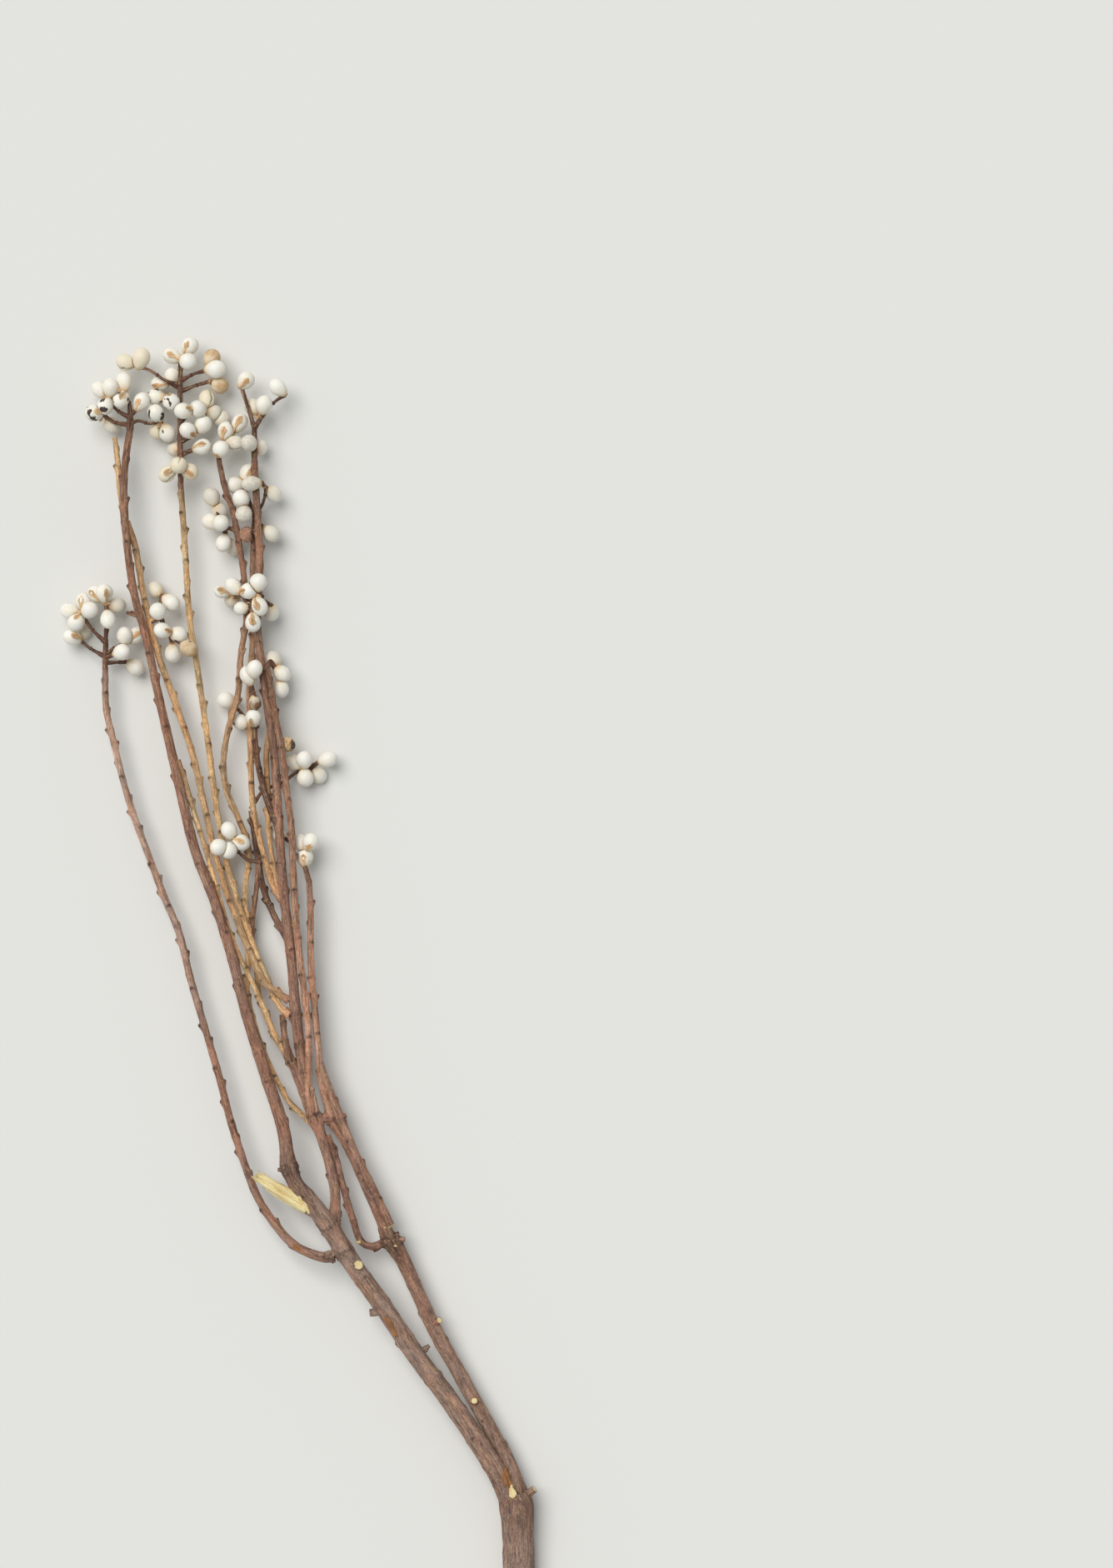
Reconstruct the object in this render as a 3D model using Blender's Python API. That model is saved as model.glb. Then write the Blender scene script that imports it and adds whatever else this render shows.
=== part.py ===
"""A dried tallow berry stem, cut and laid down on a flat surface.

The cut trunk points to -Y and the berry sprays to +Y. The surface is at z = 0, and the origin lies on
it under the middle of the stem. Every route below is in millimetres, as x, y, z and radius.
"""
import math
import random

import bmesh
import bpy
from mathutils import Matrix, Vector

MM = 0.001

# Driving dimensions, in millimetres
SEED_HALF_WIDTH = 3.75
SEED_HALF_LENGTH = 4.05
SEED_SPREAD = 0.05
SEED_SEGMENTS = 6
SEED_BANDS = 4
STALK_RADIUS = 0.62
PEDICEL_RADIUS = 0.6
SUNK_WELL_IN = 0.7
SCAR_SPACING = 27.0
SCAR_SPACING_SPREAD = 4.0
SCAR_RISE = 0.75
SCAR_SLOPE = 2.4
SCAR_CLEAR_OF_END = 6.0
FIRST_SCAR = 16.0
ZIGZAG = 0.3
LONGEST_SPAN = 28.0
SHARPEST_BEND = math.radians(18.0)
ROUTE_STEP = 1.0
UPRIGHT = 0.9
RANDOM_SEED = 7
TRUNK_SIDES = 10
RACHIS_SIDES = 5
STALK_SIDES = 4
PEDICEL_SIDES = 3

# The trunk lies on its flat underside, which is worn level with the surface.
TRUNK = [(98.0, -302.0, 6.3, 6.9), (95.5, -262.0, 6.25, 6.8), (94.3, -232.0, 7.1, 6.8),
         (93.3, -206.0, 9.0, 7.0), (92.0, -200.0, 9.3, 5.6)]

# Name: (sides, has leaf scars, route). Each route starts inside the limb that it grows from.
LIMBS = {
    "branch_left": (8, True, [
        (93.3, -206.0, 9.0, 5.2), (82.4, -186.5, 10.8, 4.3), (67.0, -163.0, 12.3, 4.1),
        (51.0, -141.5, 13.6, 4.0), (36.0, -119.0, 14.8, 4.0), (24.5, -103.0, 15.4, 3.9),
        (14.5, -87.5, 15.8, 4.0), (4.3, -73.0, 16.0, 3.7), (-2.0, -65.5, 16.0, 3.3),
        (-4.8, -57.0, 15.9, 3.2)]),
    "branch_right": (7, True, [
        (94.0, -204.0, 8.6, 4.4), (90.4, -189.0, 8.2, 3.4), (82.4, -173.2, 8.2, 3.1),
        (67.3, -146.2, 8.7, 3.1), (58.0, -129.5, 9.0, 3.1), (51.5, -115.5, 9.2, 3.1),
        (44.5, -100.0, 9.4, 3.1), (38.2, -89.0, 9.6, 3.7)]),
    "twig_far_left": (5, True, [
        (15.0, -97.0, 15.0, 2.5), (8.6, -97.2, 14.6, 2.1), (-2.2, -92.5, 13.8, 1.9),
        (-11.2, -83.2, 12.8, 1.8), (-18.4, -72.0, 11.9, 1.7), (-23.8, -58.7, 11.0, 1.6),
        (-30.3, -38.9, 10.3, 1.6), (-35.0, -20.9, 10.0, 1.55), (-41.0, -0.4, 9.6, 1.5),
        (-47.2, 20.5, 9.3, 1.5), (-52.6, 42.0, 9.1, 1.5), (-59.8, 59.5, 9.0, 1.5),
        (-67.0, 78.8, 9.0, 1.45), (-72.6, 94.0, 9.0, 1.45), (-77.0, 108.7, 9.0, 1.4),
        (-81.4, 126.7, 9.0, 1.4), (-84.2, 139.5, 9.0, 1.4), (-84.6, 156.0, 9.0, 1.3)]),
    "stem_left": (6, True, [
        (-4.8, -60.0, 15.8, 3.0), (-7.6, -40.7, 15.6, 2.8), (-14.8, -19.0, 15.2, 2.6),
        (-22.7, 6.0, 14.8, 2.4), (-29.2, 31.3, 14.4, 2.3), (-37.1, 56.5, 14.0, 2.2),
        (-45.4, 78.0, 13.8, 2.15), (-50.8, 99.7, 13.6, 2.1), (-56.2, 123.0, 13.5, 1.95),
        (-61.6, 146.5, 13.5, 1.8), (-66.6, 170.0, 13.6, 1.7), (-72.0, 190.4, 13.8, 1.65),
        (-75.6, 218.5, 13.6, 1.6), (-76.0, 240.0, 13.0, 1.6), (-74.2, 256.0, 12.6, 1.5)]),
    "twiglet_left": (5, False, [
        (-76.0, 224.0, 12.8, 1.2), (-77.2, 235.0, 11.4, 1.1), (-79.0, 247.0, 10.2, 1.0),
        (-80.1, 255.0, 9.6, 0.9)]),
    "twig_beside_left": (5, True, [
        (-5.0, 13.0, 12.8, 1.6), (-15.5, 21.2, 12.0, 1.45), (-22.7, 36.0, 11.4, 1.4),
        (-31.0, 57.2, 10.8, 1.4), (-37.4, 78.0, 10.5, 1.4), (-41.8, 98.0, 10.4, 1.4),
        (-46.8, 119.5, 10.4, 1.4), (-53.6, 140.0, 10.5, 1.4), (-61.6, 162.7, 10.6, 1.4),
        (-66.6, 182.5, 10.8, 1.4), (-68.8, 193.3, 11.0, 1.35), (-71.3, 208.4, 11.6, 1.4),
        (-74.9, 220.0, 12.8, 1.4)]),
    "twig_yellow": (5, True, [
        (-3.2, 5.4, 12.6, 1.6), (-9.4, 11.5, 11.4, 1.4), (-18.4, 31.3, 10.0, 1.35),
        (-26.3, 52.9, 9.4, 1.3), (-32.4, 74.5, 9.0, 1.3), (-36.4, 96.0, 8.8, 1.3),
        (-40.7, 128.5, 8.8, 1.3), (-44.6, 155.5, 8.8, 1.3), (-48.2, 179.0, 9.0, 1.3),
        (-50.0, 207.7, 9.6, 1.3), (-51.8, 234.0, 10.0, 1.3)]),
    "twig_thin_yellow": (5, True, [
        (-5.8, -11.0, 13.0, 1.4), (-11.2, -1.1, 12.6, 1.2), (-19.4, 18.0, 12.2, 1.1),
        (-28.4, 36.7, 12.0, 1.1), (-34.9, 56.5, 12.0, 1.1), (-40.3, 76.3, 12.0, 1.1),
        (-45.4, 92.5, 12.2, 1.1), (-49.5, 107.0, 12.8, 1.1), (-52.8, 117.0, 13.4, 1.1)]),
    "twig_long": (5, True, [
        (7.0, -42.0, 12.4, 1.4), (-0.4, -35.3, 10.6, 1.2), (-7.6, -27.0, 9.4, 1.15),
        (-17.3, -5.8, 8.2, 1.1), (-23.0, 15.0, 7.4, 1.1), (-23.0, 30.0, 7.2, 1.15),
        (-24.1, 60.0, 7.4, 1.2), (-22.6, 78.0, 7.8, 1.2), (-27.4, 92.5, 8.4, 1.25),
        (-32.0, 103.3, 9.0, 1.3), (-33.5, 114.0, 9.6, 1.3), (-32.4, 125.0, 10.0, 1.3),
        (-29.9, 135.7, 10.2, 1.3), (-27.0, 146.5, 10.2, 1.3), (-25.9, 162.7, 9.8, 1.3),
        (-23.6, 178.0, 9.2, 1.3), (-24.6, 196.0, 9.2, 1.3), (-28.8, 222.0, 10.4, 1.25),
        (-32.8, 234.7, 11.0, 1.2), (-34.4, 242.0, 11.0, 1.2)]),
    "twig_crossing": (5, True, [
        (-5.8, -11.0, 11.8, 1.3), (-11.9, -1.0, 9.8, 1.2), (-17.6, 13.3, 7.6, 1.1),
        (-19.4, 26.0, 6.8, 1.1), (-21.3, 40.0, 6.8, 1.1), (-21.0, 48.0, 7.2, 1.1),
        (-19.4, 60.0, 8.4, 1.1), (-18.3, 72.0, 9.2, 1.1)]),
    "stem_middle": (6, True, [
        (14.6, -84.0, 14.8, 2.5), (15.1, -71.3, 13.6, 2.2), (13.3, -60.5, 13.0, 2.15),
        (10.4, -49.7, 12.7, 2.2), (6.1, -37.1, 12.6, 2.4), (2.5, -26.3, 12.6, 2.4),
        (-1.4, 2.5, 12.6, 2.3), (-4.0, 31.3, 12.6, 2.1), (-7.2, 60.0, 12.5, 1.95),
        (-9.4, 89.0, 12.4, 1.85), (-11.2, 117.7, 12.3, 1.8), (-15.1, 146.5, 12.3, 1.75),
        (-18.7, 175.3, 12.2, 1.7), (-17.6, 200.5, 12.2, 1.6), (-18.6, 222.0, 12.2, 1.5),
        (-19.7, 240.0, 12.2, 1.45), (-19.8, 245.5, 12.2, 1.4)]),
    "knee_stub": (6, False, [
        (4.0, -31.5, 13.0, 2.1), (-2.2, -17.3, 13.2, 1.9), (-5.2, -10.0, 13.0, 1.9),
        (-6.8, -2.9, 12.6, 1.4), (-7.9, 7.0, 12.0, 1.2)]),
    "twig_tan": (5, True, [
        (-8.0, 56.0, 12.0, 1.4), (-12.5, 64.0, 11.4, 1.3), (-15.1, 72.7, 11.0, 1.25),
        (-18.4, 85.3, 10.6, 1.25), (-20.9, 99.7, 10.2, 1.25), (-21.8, 123.0, 10.0, 1.25),
        (-22.3, 146.5, 9.4, 1.25), (-20.9, 168.0, 8.8, 1.25), (-20.5, 179.0, 8.6, 1.25),
        (-20.9, 200.5, 8.4, 1.2), (-20.2, 218.0, 8.2, 1.15)]),
    "twig_hidden": (5, True, [
        (-8.4, 58.0, 11.6, 1.3), (-11.7, 71.0, 10.2, 1.2), (-13.8, 85.3, 9.8, 1.2),
        (-14.3, 103.3, 9.8, 1.2), (-14.8, 120.0, 10.4, 1.2), (-13.2, 132.0, 12.2, 1.1)]),
    "twig_dark_low": (5, True, [
        (-5.8, 40.0, 12.0, 1.5), (-11.9, 50.4, 10.8, 1.3), (-16.6, 63.0, 9.4, 1.3),
        (-18.5, 74.5, 8.6, 1.2), (-20.2, 84.0, 7.8, 1.1), (-21.9, 95.0, 7.2, 1.0)]),
    "twig_dark_high": (5, True, [
        (-9.4, 88.0, 12.5, 1.5), (-13.3, 96.1, 13.1, 1.3), (-16.9, 108.7, 13.1, 1.25),
        (-19.1, 119.5, 12.9, 1.2), (-19.6, 127.0, 12.4, 1.1)]),
    "twig_reddish": (5, True, [
        (5.0, -39.0, 13.0, 1.7), (3.6, -22.7, 15.4, 1.5), (3.5, -1.0, 14.8, 1.45),
        (2.2, 13.3, 14.4, 1.45), (-1.4, 42.0, 14.2, 1.45), (-3.2, 71.0, 14.2, 1.45),
        (-3.8, 87.0, 14.2, 1.45), (-6.3, 107.0, 14.4, 1.4), (-7.8, 121.0, 14.6, 1.4),
        (-10.0, 132.0, 14.8, 1.35), (-12.4, 146.0, 15.0, 1.3), (-14.2, 157.0, 15.0, 1.2)]),
    "twig_right": (5, True, [
        (14.5, -40.0, 11.8, 1.9), (9.9, -26.0, 12.6, 1.6), (7.9, -10.0, 12.8, 1.5),
        (6.1, 9.7, 12.4, 1.45), (4.5, 30.0, 12.0, 1.4), (4.3, 51.0, 11.7, 1.35), (3.6, 64.0, 11.5, 1.3)]),
    "twig_right_low": (5, True, [
        (38.2, -90.5, 9.2, 1.8), (31.5, -93.2, 9.2, 1.6), (26.0, -91.0, 9.6, 1.5),
        (22.7, -82.0, 10.2, 1.45), (18.4, -67.7, 11.0, 1.45), (15.0, -54.0, 11.8, 1.4),
        (11.6, -45.0, 12.4, 1.4)]),
    "twig_right_middle": (6, True, [
        (38.2, -90.5, 9.6, 2.5), (33.5, -79.0, 10.0, 2.2), (27.7, -66.0, 10.4, 2.1),
        (21.2, -51.5, 10.9, 2.1), (13.6, -38.9, 11.6, 2.3), (8.0, -37.5, 12.2, 1.9)]),
    "twig_right_torn": (5, True, [
        (38.9, -83.8, 12.4, 1.6), (34.6, -75.0, 12.4, 1.7), (31.0, -67.3, 12.4, 1.7),
        (24.3, -54.4, 12.6, 1.7), (17.0, -37.0, 12.8, 1.9), (12.0, -24.0, 12.9, 1.6),
        (8.3, -13.0, 12.8, 1.4)]),
    "twiglet_pink": (5, False, [
        (9.7, -40.7, 13.6, 1.1), (7.2, -33.5, 14.4, 0.8), (6.0, -27.0, 14.6, 0.6)]),
    "stub_split": (7, False, [
        (6.0, -77.0, 15.4, 3.3), (-2.0, -72.5, 15.6, 3.6), (-10.0, -68.0, 16.2, 3.0),
        (-18.6, -62.4, 16.8, 2.4)]),
    "stub_knob": (6, False, [
        (37.0, -118.5, 14.8, 1.8), (32.5, -121.0, 14.6, 1.5), (29.6, -121.4, 14.6, 1.3)]),
    "stub_sawn": (8, False, [(24.6, -101.2, 15.4, 2.4), (25.3, -100.3, 19.9, 2.1)]),
    "stub_right_pale": (7, False, [(55.6, -126.5, 9.2, 1.7), (59.9, -125.0, 11.0, 1.5)]),
    "stub_small_pale": (7, False, [(75.3, -160.8, 8.6, 1.6), (75.4, -160.2, 12.0, 1.3)]),
    "stub_fork_pale": (6, False, [(93.5, -204.0, 9.0, 2.4), (101.2, -197.6, 9.6, 1.5)]),
    "bud_branch": (5, False, [(51.0, -139.5, 13.8, 1.8), (55.6, -135.6, 14.2, 0.9)]),
    "bud_node_left": (5, False, [(-4.5, -59.5, 15.6, 1.9), (-9.7, -59.6, 15.8, 0.7)]),
    "bud_node_right": (5, False, [(-4.0, -59.5, 15.6, 1.5), (-1.0, -61.5, 17.6, 0.8)]),
    "bud_right_knee": (5, False, [(38.5, -90.0, 9.8, 1.8), (45.0, -90.2, 10.4, 1.2)]),
    "bud_left_knee": (5, False, [(38.0, -90.0, 9.8, 1.6), (34.4, -88.4, 11.8, 0.7)]),
    "bud_collar": (5, False, [(16.5, -37.6, 12.6, 1.6), (19.6, -36.4, 13.0, 1.0)]),
    "stalk_bare": (5, False, [
        (-69.0, 178.6, 13.2, 1.0), (-72.6, 179.8, 11.0, 0.75), (-75.2, 180.7, 9.8, 0.65)]),
    "peduncle_2": (5, False, [(-65.6, 177.0, 10.8, 1.0), (-62.4, 177.4, 12.0, 0.85)]),
    "peduncle_5": (5, False, [(-27.4, 216.0, 10.1, 1.0), (-30.2, 217.0, 9.6, 0.9)]),
    "peduncle_6": (5, False, [(-18.5, 181.0, 12.4, 1.0), (-20.4, 181.6, 14.6, 0.9)]),
}

# Shrivelled brown fruits that are one with the wood: x, y, z, half width, half length
OLD_FRUITS = [(-23.2, 214.4, 10.6, 3.5, 3.9), (-5.7, 123.6, 11.2, 3.4, 3.5)]

# Each spray: its dark rachis, then its fruits. A fruit is the stalk's route from the rachis, then the
# centres of its seeds, each with its scale where that isn't 1.
SPRAYS = {
    "spray_01": {
        "rachis": [(-84.6, 156.4, 9.0, 1.3), (-84.4, 165.0, 9.4, 1.2), (-84.1, 173.0, 10.0, 0.9)],
        "fruits": [
            ([(-84.6, 161.6, 9.2), (-91.1, 165.2, 7.0), (-95.6, 168.8, 5.6)],
             [(-98.6, 169.8, 7.4), (-94.6, 172.8, 3.0)]),
            ([(-84.5, 168.0, 9.6), (-89.6, 172.8, 9.8), (-94.6, 179.6, 10.2)],
             [(-99.6, 181.2, 9.0), (-96.6, 176.8, 11.4), (-93.8, 185.2, 9.4), (-91.2, 181.4, 13.4)]),
            ([(-84.1, 172.4, 10.0), (-83.2, 179.0, 11.4), (-84.2, 184.0, 11.6)],
             [(-88.4, 188.4, 9.2), (-84.4, 188.6, 13.4), (-79.9, 183.8, 8.8), (-82.8, 177.8, 15.6)]),
            ([(-84.5, 162.0, 9.3), (-80.6, 165.4, 10.0), (-75.6, 167.4, 9.6)],
             [(-75.9, 170.2, 11.6), (-71.6, 170.4, 8.6)]),
            ([(-84.5, 161.0, 9.2), (-80.6, 162.6, 11.0)], [(-77.4, 163.4, 13.6)]),
            ([(-84.6, 159.0, 9.1), (-80.0, 159.2, 8.0), (-75.0, 159.4, 6.6)], [(-72.0, 157.4, 6.2)])]},
    "spray_02": {
        "rachis": [(-62.0, 177.5, 12.2, 0.85), (-60.2, 178.4, 12.6, 0.8)],
        "fruits": [
            ([(-60.4, 178.4, 12.6), (-60.8, 184.6, 9.6), (-60.2, 188.0, 8.8)],
             [(-56.4, 185.2, 10.0), (-63.0, 190.6, 5.4)]),
            ([(-60.2, 178.4, 12.6), (-60.8, 179.6, 13.4)], [(-61.2, 180.8, 15.6)]),
            ([(-60.2, 178.2, 12.6), (-58.4, 174.0, 12.6), (-56.4, 171.8, 12.4)],
             [(-59.0, 172.6, 14.8), (-53.2, 171.2, 11.4)]),
            ([(-56.6, 172.0, 12.4), (-55.4, 167.4, 10.8)], [(-55.4, 163.4, 9.2)]),
            ([(-56.4, 171.8, 12.4), (-52.8, 167.8, 13.0), (-50.8, 166.6, 14.0)],
             [(-48.2, 165.2, 15.0)])]},
    "spray_03": {
        "rachis": [(-74.0, 256.6, 12.6, 1.5), (-73.5, 261.7, 12.7, 1.7), (-73.4, 266.5, 12.9, 1.1)],
        "fruits": [
            ([(-73.4, 262.0, 12.7), (-70.0, 263.4, 12.6), (-65.2, 262.2, 12.0), (-60.4, 263.6, 11.6)],
             [(-62.0, 266.2, 14.2), (-57.8, 258.6, 10.0), (-61.8, 259.9, 7.6)]),
            ([(-73.5, 261.5, 12.7), (-80.3, 262.8, 12.2), (-85.6, 266.2, 12.0)],
             [(-88.6, 266.6, 13.2), (-81.8, 261.8, 7.4)]),
            ([(-73.4, 264.6, 12.8), (-79.0, 267.8, 12.0), (-82.4, 272.6, 10.8)],
             [(-84.0, 269.8, 14.0), (-86.6, 276.8, 8.6), (-82.0, 277.4, 11.6)]),
            ([(-73.4, 266.0, 12.9), (-74.0, 271.4, 13.0), (-75.4, 275.6, 12.2)],
             [(-77.0, 272.6, 14.8), (-76.2, 280.2, 10.4)]),
            ([(-73.4, 265.6, 12.9), (-70.6, 268.4, 13.0)], [(-68.8, 271.2, 13.2)])]},
    "spray_04": {
        "rachis": [(-51.8, 234.6, 10.0, 1.3), (-51.9, 245.0, 10.6, 1.25), (-52.2, 256.0, 11.1, 1.2),
                   (-52.1, 266.0, 11.6, 1.15), (-52.0, 276.0, 12.1, 1.2), (-51.8, 285.5, 12.6, 0.9)],
        "fruits": [
            ([(-52.0, 278.6, 12.3), (-58.0, 280.6, 12.8), (-64.8, 285.0, 12.6), (-69.8, 286.6, 11.6)],
             [(-68.8, 289.8, 12.6, 1.1), (-75.4, 288.6, 10.4)]),
            ([(-52.0, 280.4, 12.4), (-46.4, 283.4, 12.4), (-41.4, 285.0, 12.0)],
             [(-38.6, 290.4, 10.2), (-37.0, 285.4, 13.4, 1.12)]),
            ([(-52.0, 276.0, 12.1), (-45.4, 278.6, 11.4), (-39.6, 280.4, 10.8)], [(-35.4, 279.0, 10.2)]),
            ([(-51.8, 285.0, 12.6), (-51.6, 289.4, 12.6)],
             [(-55.2, 291.2, 11.6), (-48.0, 295.4, 11.4), (-48.6, 288.6, 16.0)]),
            ([(-52.0, 277.4, 12.2), (-56.6, 280.0, 9.6)], [(-55.8, 282.6, 8.2), (-60.4, 279.8, 8.0)]),
            ([(-52.1, 269.6, 11.8), (-57.4, 273.6, 11.6)], [(-62.3, 273.8, 9.6), (-55.8, 271.6, 14.6)]),
            ([(-52.2, 262.6, 11.4), (-47.6, 266.4, 12.0), (-41.0, 268.0, 10.0)],
             [(-50.0, 267.4, 16.0), (-44.0, 268.4, 13.4), (-40.8, 272.6, 8.6), (-38.0, 267.2, 7.4),
              (-34.8, 265.0, 5.6)]),
            ([(-52.2, 254.2, 11.0), (-46.2, 257.2, 12.0)], [(-48.2, 258.8, 14.6), (-42.4, 261.4, 12.2)]),
            ([(-52.0, 248.6, 10.8), (-46.0, 251.2, 11.0)], [(-42.8, 252.0, 11.8)]),
            ([(-52.1, 251.0, 10.9), (-53.6, 251.4, 8.8)], [(-54.4, 251.6, 6.8)]),
            ([(-51.9, 244.0, 10.5), (-52.4, 244.6, 13.6)],
             [(-57.0, 240.8, 13.0), (-52.3, 244.0, 16.6), (-48.0, 241.6, 13.2)])]},
    "spray_05": {
        "rachis": [(-34.6, 242.6, 11.0, 1.2), (-35.5, 247.5, 10.8, 1.1), (-36.0, 252.0, 10.6, 0.8)],
        "fruits": [
            ([(-35.5, 247.0, 10.8), (-34.8, 249.0, 12.6)], [(-34.2, 250.6, 15.2)]),
            ([(-35.7, 249.6, 10.7), (-33.4, 254.6, 10.4)], [(-32.4, 258.8, 10.8), (-28.4, 253.8, 12.4)]),
            ([(-33.8, 254.0, 10.4), (-29.4, 257.6, 10.0)], [(-26.6, 262.2, 10.0)])]},
    "spray_06": {
        "rachis": [(-19.8, 246.1, 12.2, 1.4), (-19.9, 254.0, 12.2, 1.3), (-19.8, 260.4, 12.2, 1.1)],
        "fruits": [
            ([(-19.9, 250.0, 12.2), (-21.0, 251.6, 14.0)], [(-21.8, 253.2, 16.8)]),
            ([(-19.9, 249.6, 12.2), (-18.8, 250.8, 10.4)], [(-18.2, 252.0, 8.0)]),
            ([(-19.8, 260.0, 12.2), (-22.6, 269.0, 12.4), (-25.6, 278.4, 12.4)], [(-23.8, 280.4, 12.6)]),
            ([(-19.8, 260.0, 12.2), (-17.2, 264.8, 12.2)], [(-20.8, 269.4, 8.4), (-15.8, 269.8, 13.4)]),
            ([(-17.0, 265.2, 12.2), (-11.6, 271.2, 12.0), (-6.6, 274.6, 12.0)], [(-9.4, 277.4, 12.2)])]},
    "spray_07": {
        "rachis": [(-30.5, 217.1, 9.6, 0.9), (-33.4, 217.2, 10.0, 0.8)],
        "fruits": [
            ([(-33.2, 217.2, 10.0), (-35.4, 222.0, 9.4), (-36.6, 226.6, 9.0)],
             [(-38.4, 230.4, 9.2), (-35.4, 225.2, 6.8)]),
            ([(-33.2, 217.2, 10.0), (-35.6, 218.6, 11.2)], [(-38.6, 219.8, 9.8), (-34.4, 219.0, 14.8)]),
            ([(-33.0, 217.0, 10.0), (-32.4, 213.6, 8.8)], [(-33.2, 211.0, 10.6), (-29.8, 209.4, 5.0)])]},
    "spray_08": {
        "rachis": [(-20.2, 218.6, 8.2, 1.15), (-19.8, 223.0, 8.2, 1.1)],
        "fruits": [
            ([(-19.9, 222.6, 8.2), (-16.4, 228.0, 9.8), (-15.0, 233.6, 13.6), (-16.6, 236.6, 16.2)],
             [(-20.6, 236.0, 18.4), (-12.0, 232.2, 9.6)]),
            ([(-20.0, 222.0, 8.2), (-23.2, 226.6, 9.6)], [(-25.4, 229.6, 12.8), (-24.2, 223.2, 14.4)]),
            ([(-19.9, 222.6, 8.2), (-22.8, 230.0, 7.0), (-25.4, 236.6, 6.8)],
             [(-28.2, 236.0, 7.2), (-23.4, 240.8, 6.4)]),
            ([(-20.1, 220.6, 8.2), (-16.4, 217.6, 7.2)], [(-13.0, 215.0, 8.6)])]},
    "spray_09": {
        "rachis": [(-21.0, 182.5, 15.4, 0.8), (-21.6, 184.2, 16.0, 0.9)],
        "fruits": [
            ([(-21.6, 184.2, 15.6), (-25.4, 188.4, 14.0)], [(-28.6, 191.6, 13.4), (-22.4, 189.6, 17.8)]),
            ([(-25.2, 188.2, 14.0), (-28.4, 187.6, 10.6)],
             [(-29.6, 186.4, 6.2), (-33.8, 189.4, 11.0, 0.8)]),
            ([(-21.6, 184.2, 15.6), (-19.4, 187.6, 17.4)], [(-18.0, 193.0, 18.4), (-17.5, 183.4, 18.6)]),
            ([(-21.2, 183.2, 15.2), (-23.0, 182.8, 14.6)], [(-25.2, 182.4, 14.6, 0.8)]),
            ([(-21.0, 182.6, 15.0), (-20.6, 179.6, 17.0)], [(-20.2, 176.4, 18.6)]),
            ([(-21.4, 184.0, 15.6), (-16.0, 185.6, 15.8), (-12.6, 183.6, 12.4)], [(-12.8, 181.0, 9.2)])]},
    "spray_10": {
        "rachis": [(-19.7, 127.6, 12.4, 1.1), (-19.6, 131.4, 12.0, 1.0)],
        "fruits": [
            ([(-19.6, 131.0, 12.0), (-19.8, 132.6, 13.2)], [(-20.0, 134.8, 15.4)]),
            ([(-19.6, 131.2, 12.0), (-18.9, 131.6, 8.4), (-21.6, 132.0, 6.6)], [(-25.8, 133.4, 5.4)]),
            ([(-21.6, 132.0, 6.6), (-26.4, 137.6, 5.6), (-29.2, 141.0, 5.6)], [(-32.2, 142.6, 5.8)]),
            ([(-19.8, 132.8, 13.2), (-18.9, 138.0, 14.8), (-19.6, 145.0, 15.2), (-21.2, 149.8, 15.4)],
             [(-22.4, 153.0, 15.4), (-19.6, 155.6, 18.2), (-19.6, 141.8, 14.6, 0.75)])]},
    "spray_11": {
        "rachis": [(-14.3, 157.6, 15.0, 1.1), (-13.0, 159.8, 14.0, 0.8)],
        "fruits": [
            ([(-13.2, 159.6, 14.2), (-11.0, 157.0, 12.0)], [(-11.8, 160.2, 9.0), (-8.4, 154.4, 10.4)]),
            ([(-11.2, 157.2, 12.0), (-9.2, 152.0, 10.4)], [(-8.8, 148.2, 9.0)])]},
    "spray_12": {
        "rachis": [(-20.2, 73.2, 9.6, 0.9), (-23.0, 73.9, 10.4, 0.8), (-27.2, 77.5, 11.8, 0.7)],
        "fruits": [
            ([(-26.8, 77.2, 11.7), (-30.0, 79.4, 12.6)], [(-30.6, 78.2, 15.0), (-34.6, 79.4, 16.4)]),
            ([(-27.0, 77.4, 11.8), (-28.4, 82.6, 12.8)], [(-30.4, 86.2, 14.6), (-26.0, 81.6, 13.6)])]},
    "spray_13": {
        "rachis": [(-20.6, 97.8, 7.2, 0.9), (-17.0, 103.0, 6.6, 0.8), (-13.4, 105.2, 6.4, 0.8),
                   (-8.5, 107.0, 6.2, 0.8), (-4.8, 109.6, 6.2, 0.8), (-1.4, 112.4, 6.4, 0.7)],
        "fruits": [
            ([(-2.0, 112.0, 6.4), (1.6, 113.0, 6.2)],
             [(1.6, 116.8, 10.0), (-2.8, 115.6, 5.6), (1.8, 109.6, 7.6)]),
            ([(1.0, 112.8, 6.2), (4.4, 113.2, 5.4)], [(7.0, 110.8, 3.2)]),
            ([(3.6, 113.2, 5.6), (7.6, 116.2, 6.6)], [(11.2, 117.2, 7.6)])]},
    "spray_14": {
        "rachis": [(3.5, 64.6, 11.5, 1.3), (2.4, 69.0, 11.2, 1.1), (1.2, 73.0, 10.6, 0.8)],
        "fruits": [
            ([(1.8, 71.0, 10.8), (1.6, 73.2, 9.6)], [(1.6, 74.6, 9.6)]),
            ([(1.4, 72.6, 10.6), (1.8, 77.4, 10.4)], [(0.0, 80.8, 8.4), (4.2, 81.4, 12.4)]),
            ([(1.8, 77.0, 10.2), (-4.8, 81.6, 7.2), (-7.6, 83.6, 6.4)], [(-10.4, 85.0, 5.2)])]},
}

# Nodes whose lowest points are worn level with the surface, for the stem to rest on
RESTING = ("woody_stem", "spray_01", "spray_13")


def clear_scene():
    """Empties the scene, so that the stem is all that it holds."""
    for obj in list(bpy.data.objects):
        bpy.data.objects.remove(obj, do_unlink=True)


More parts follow.
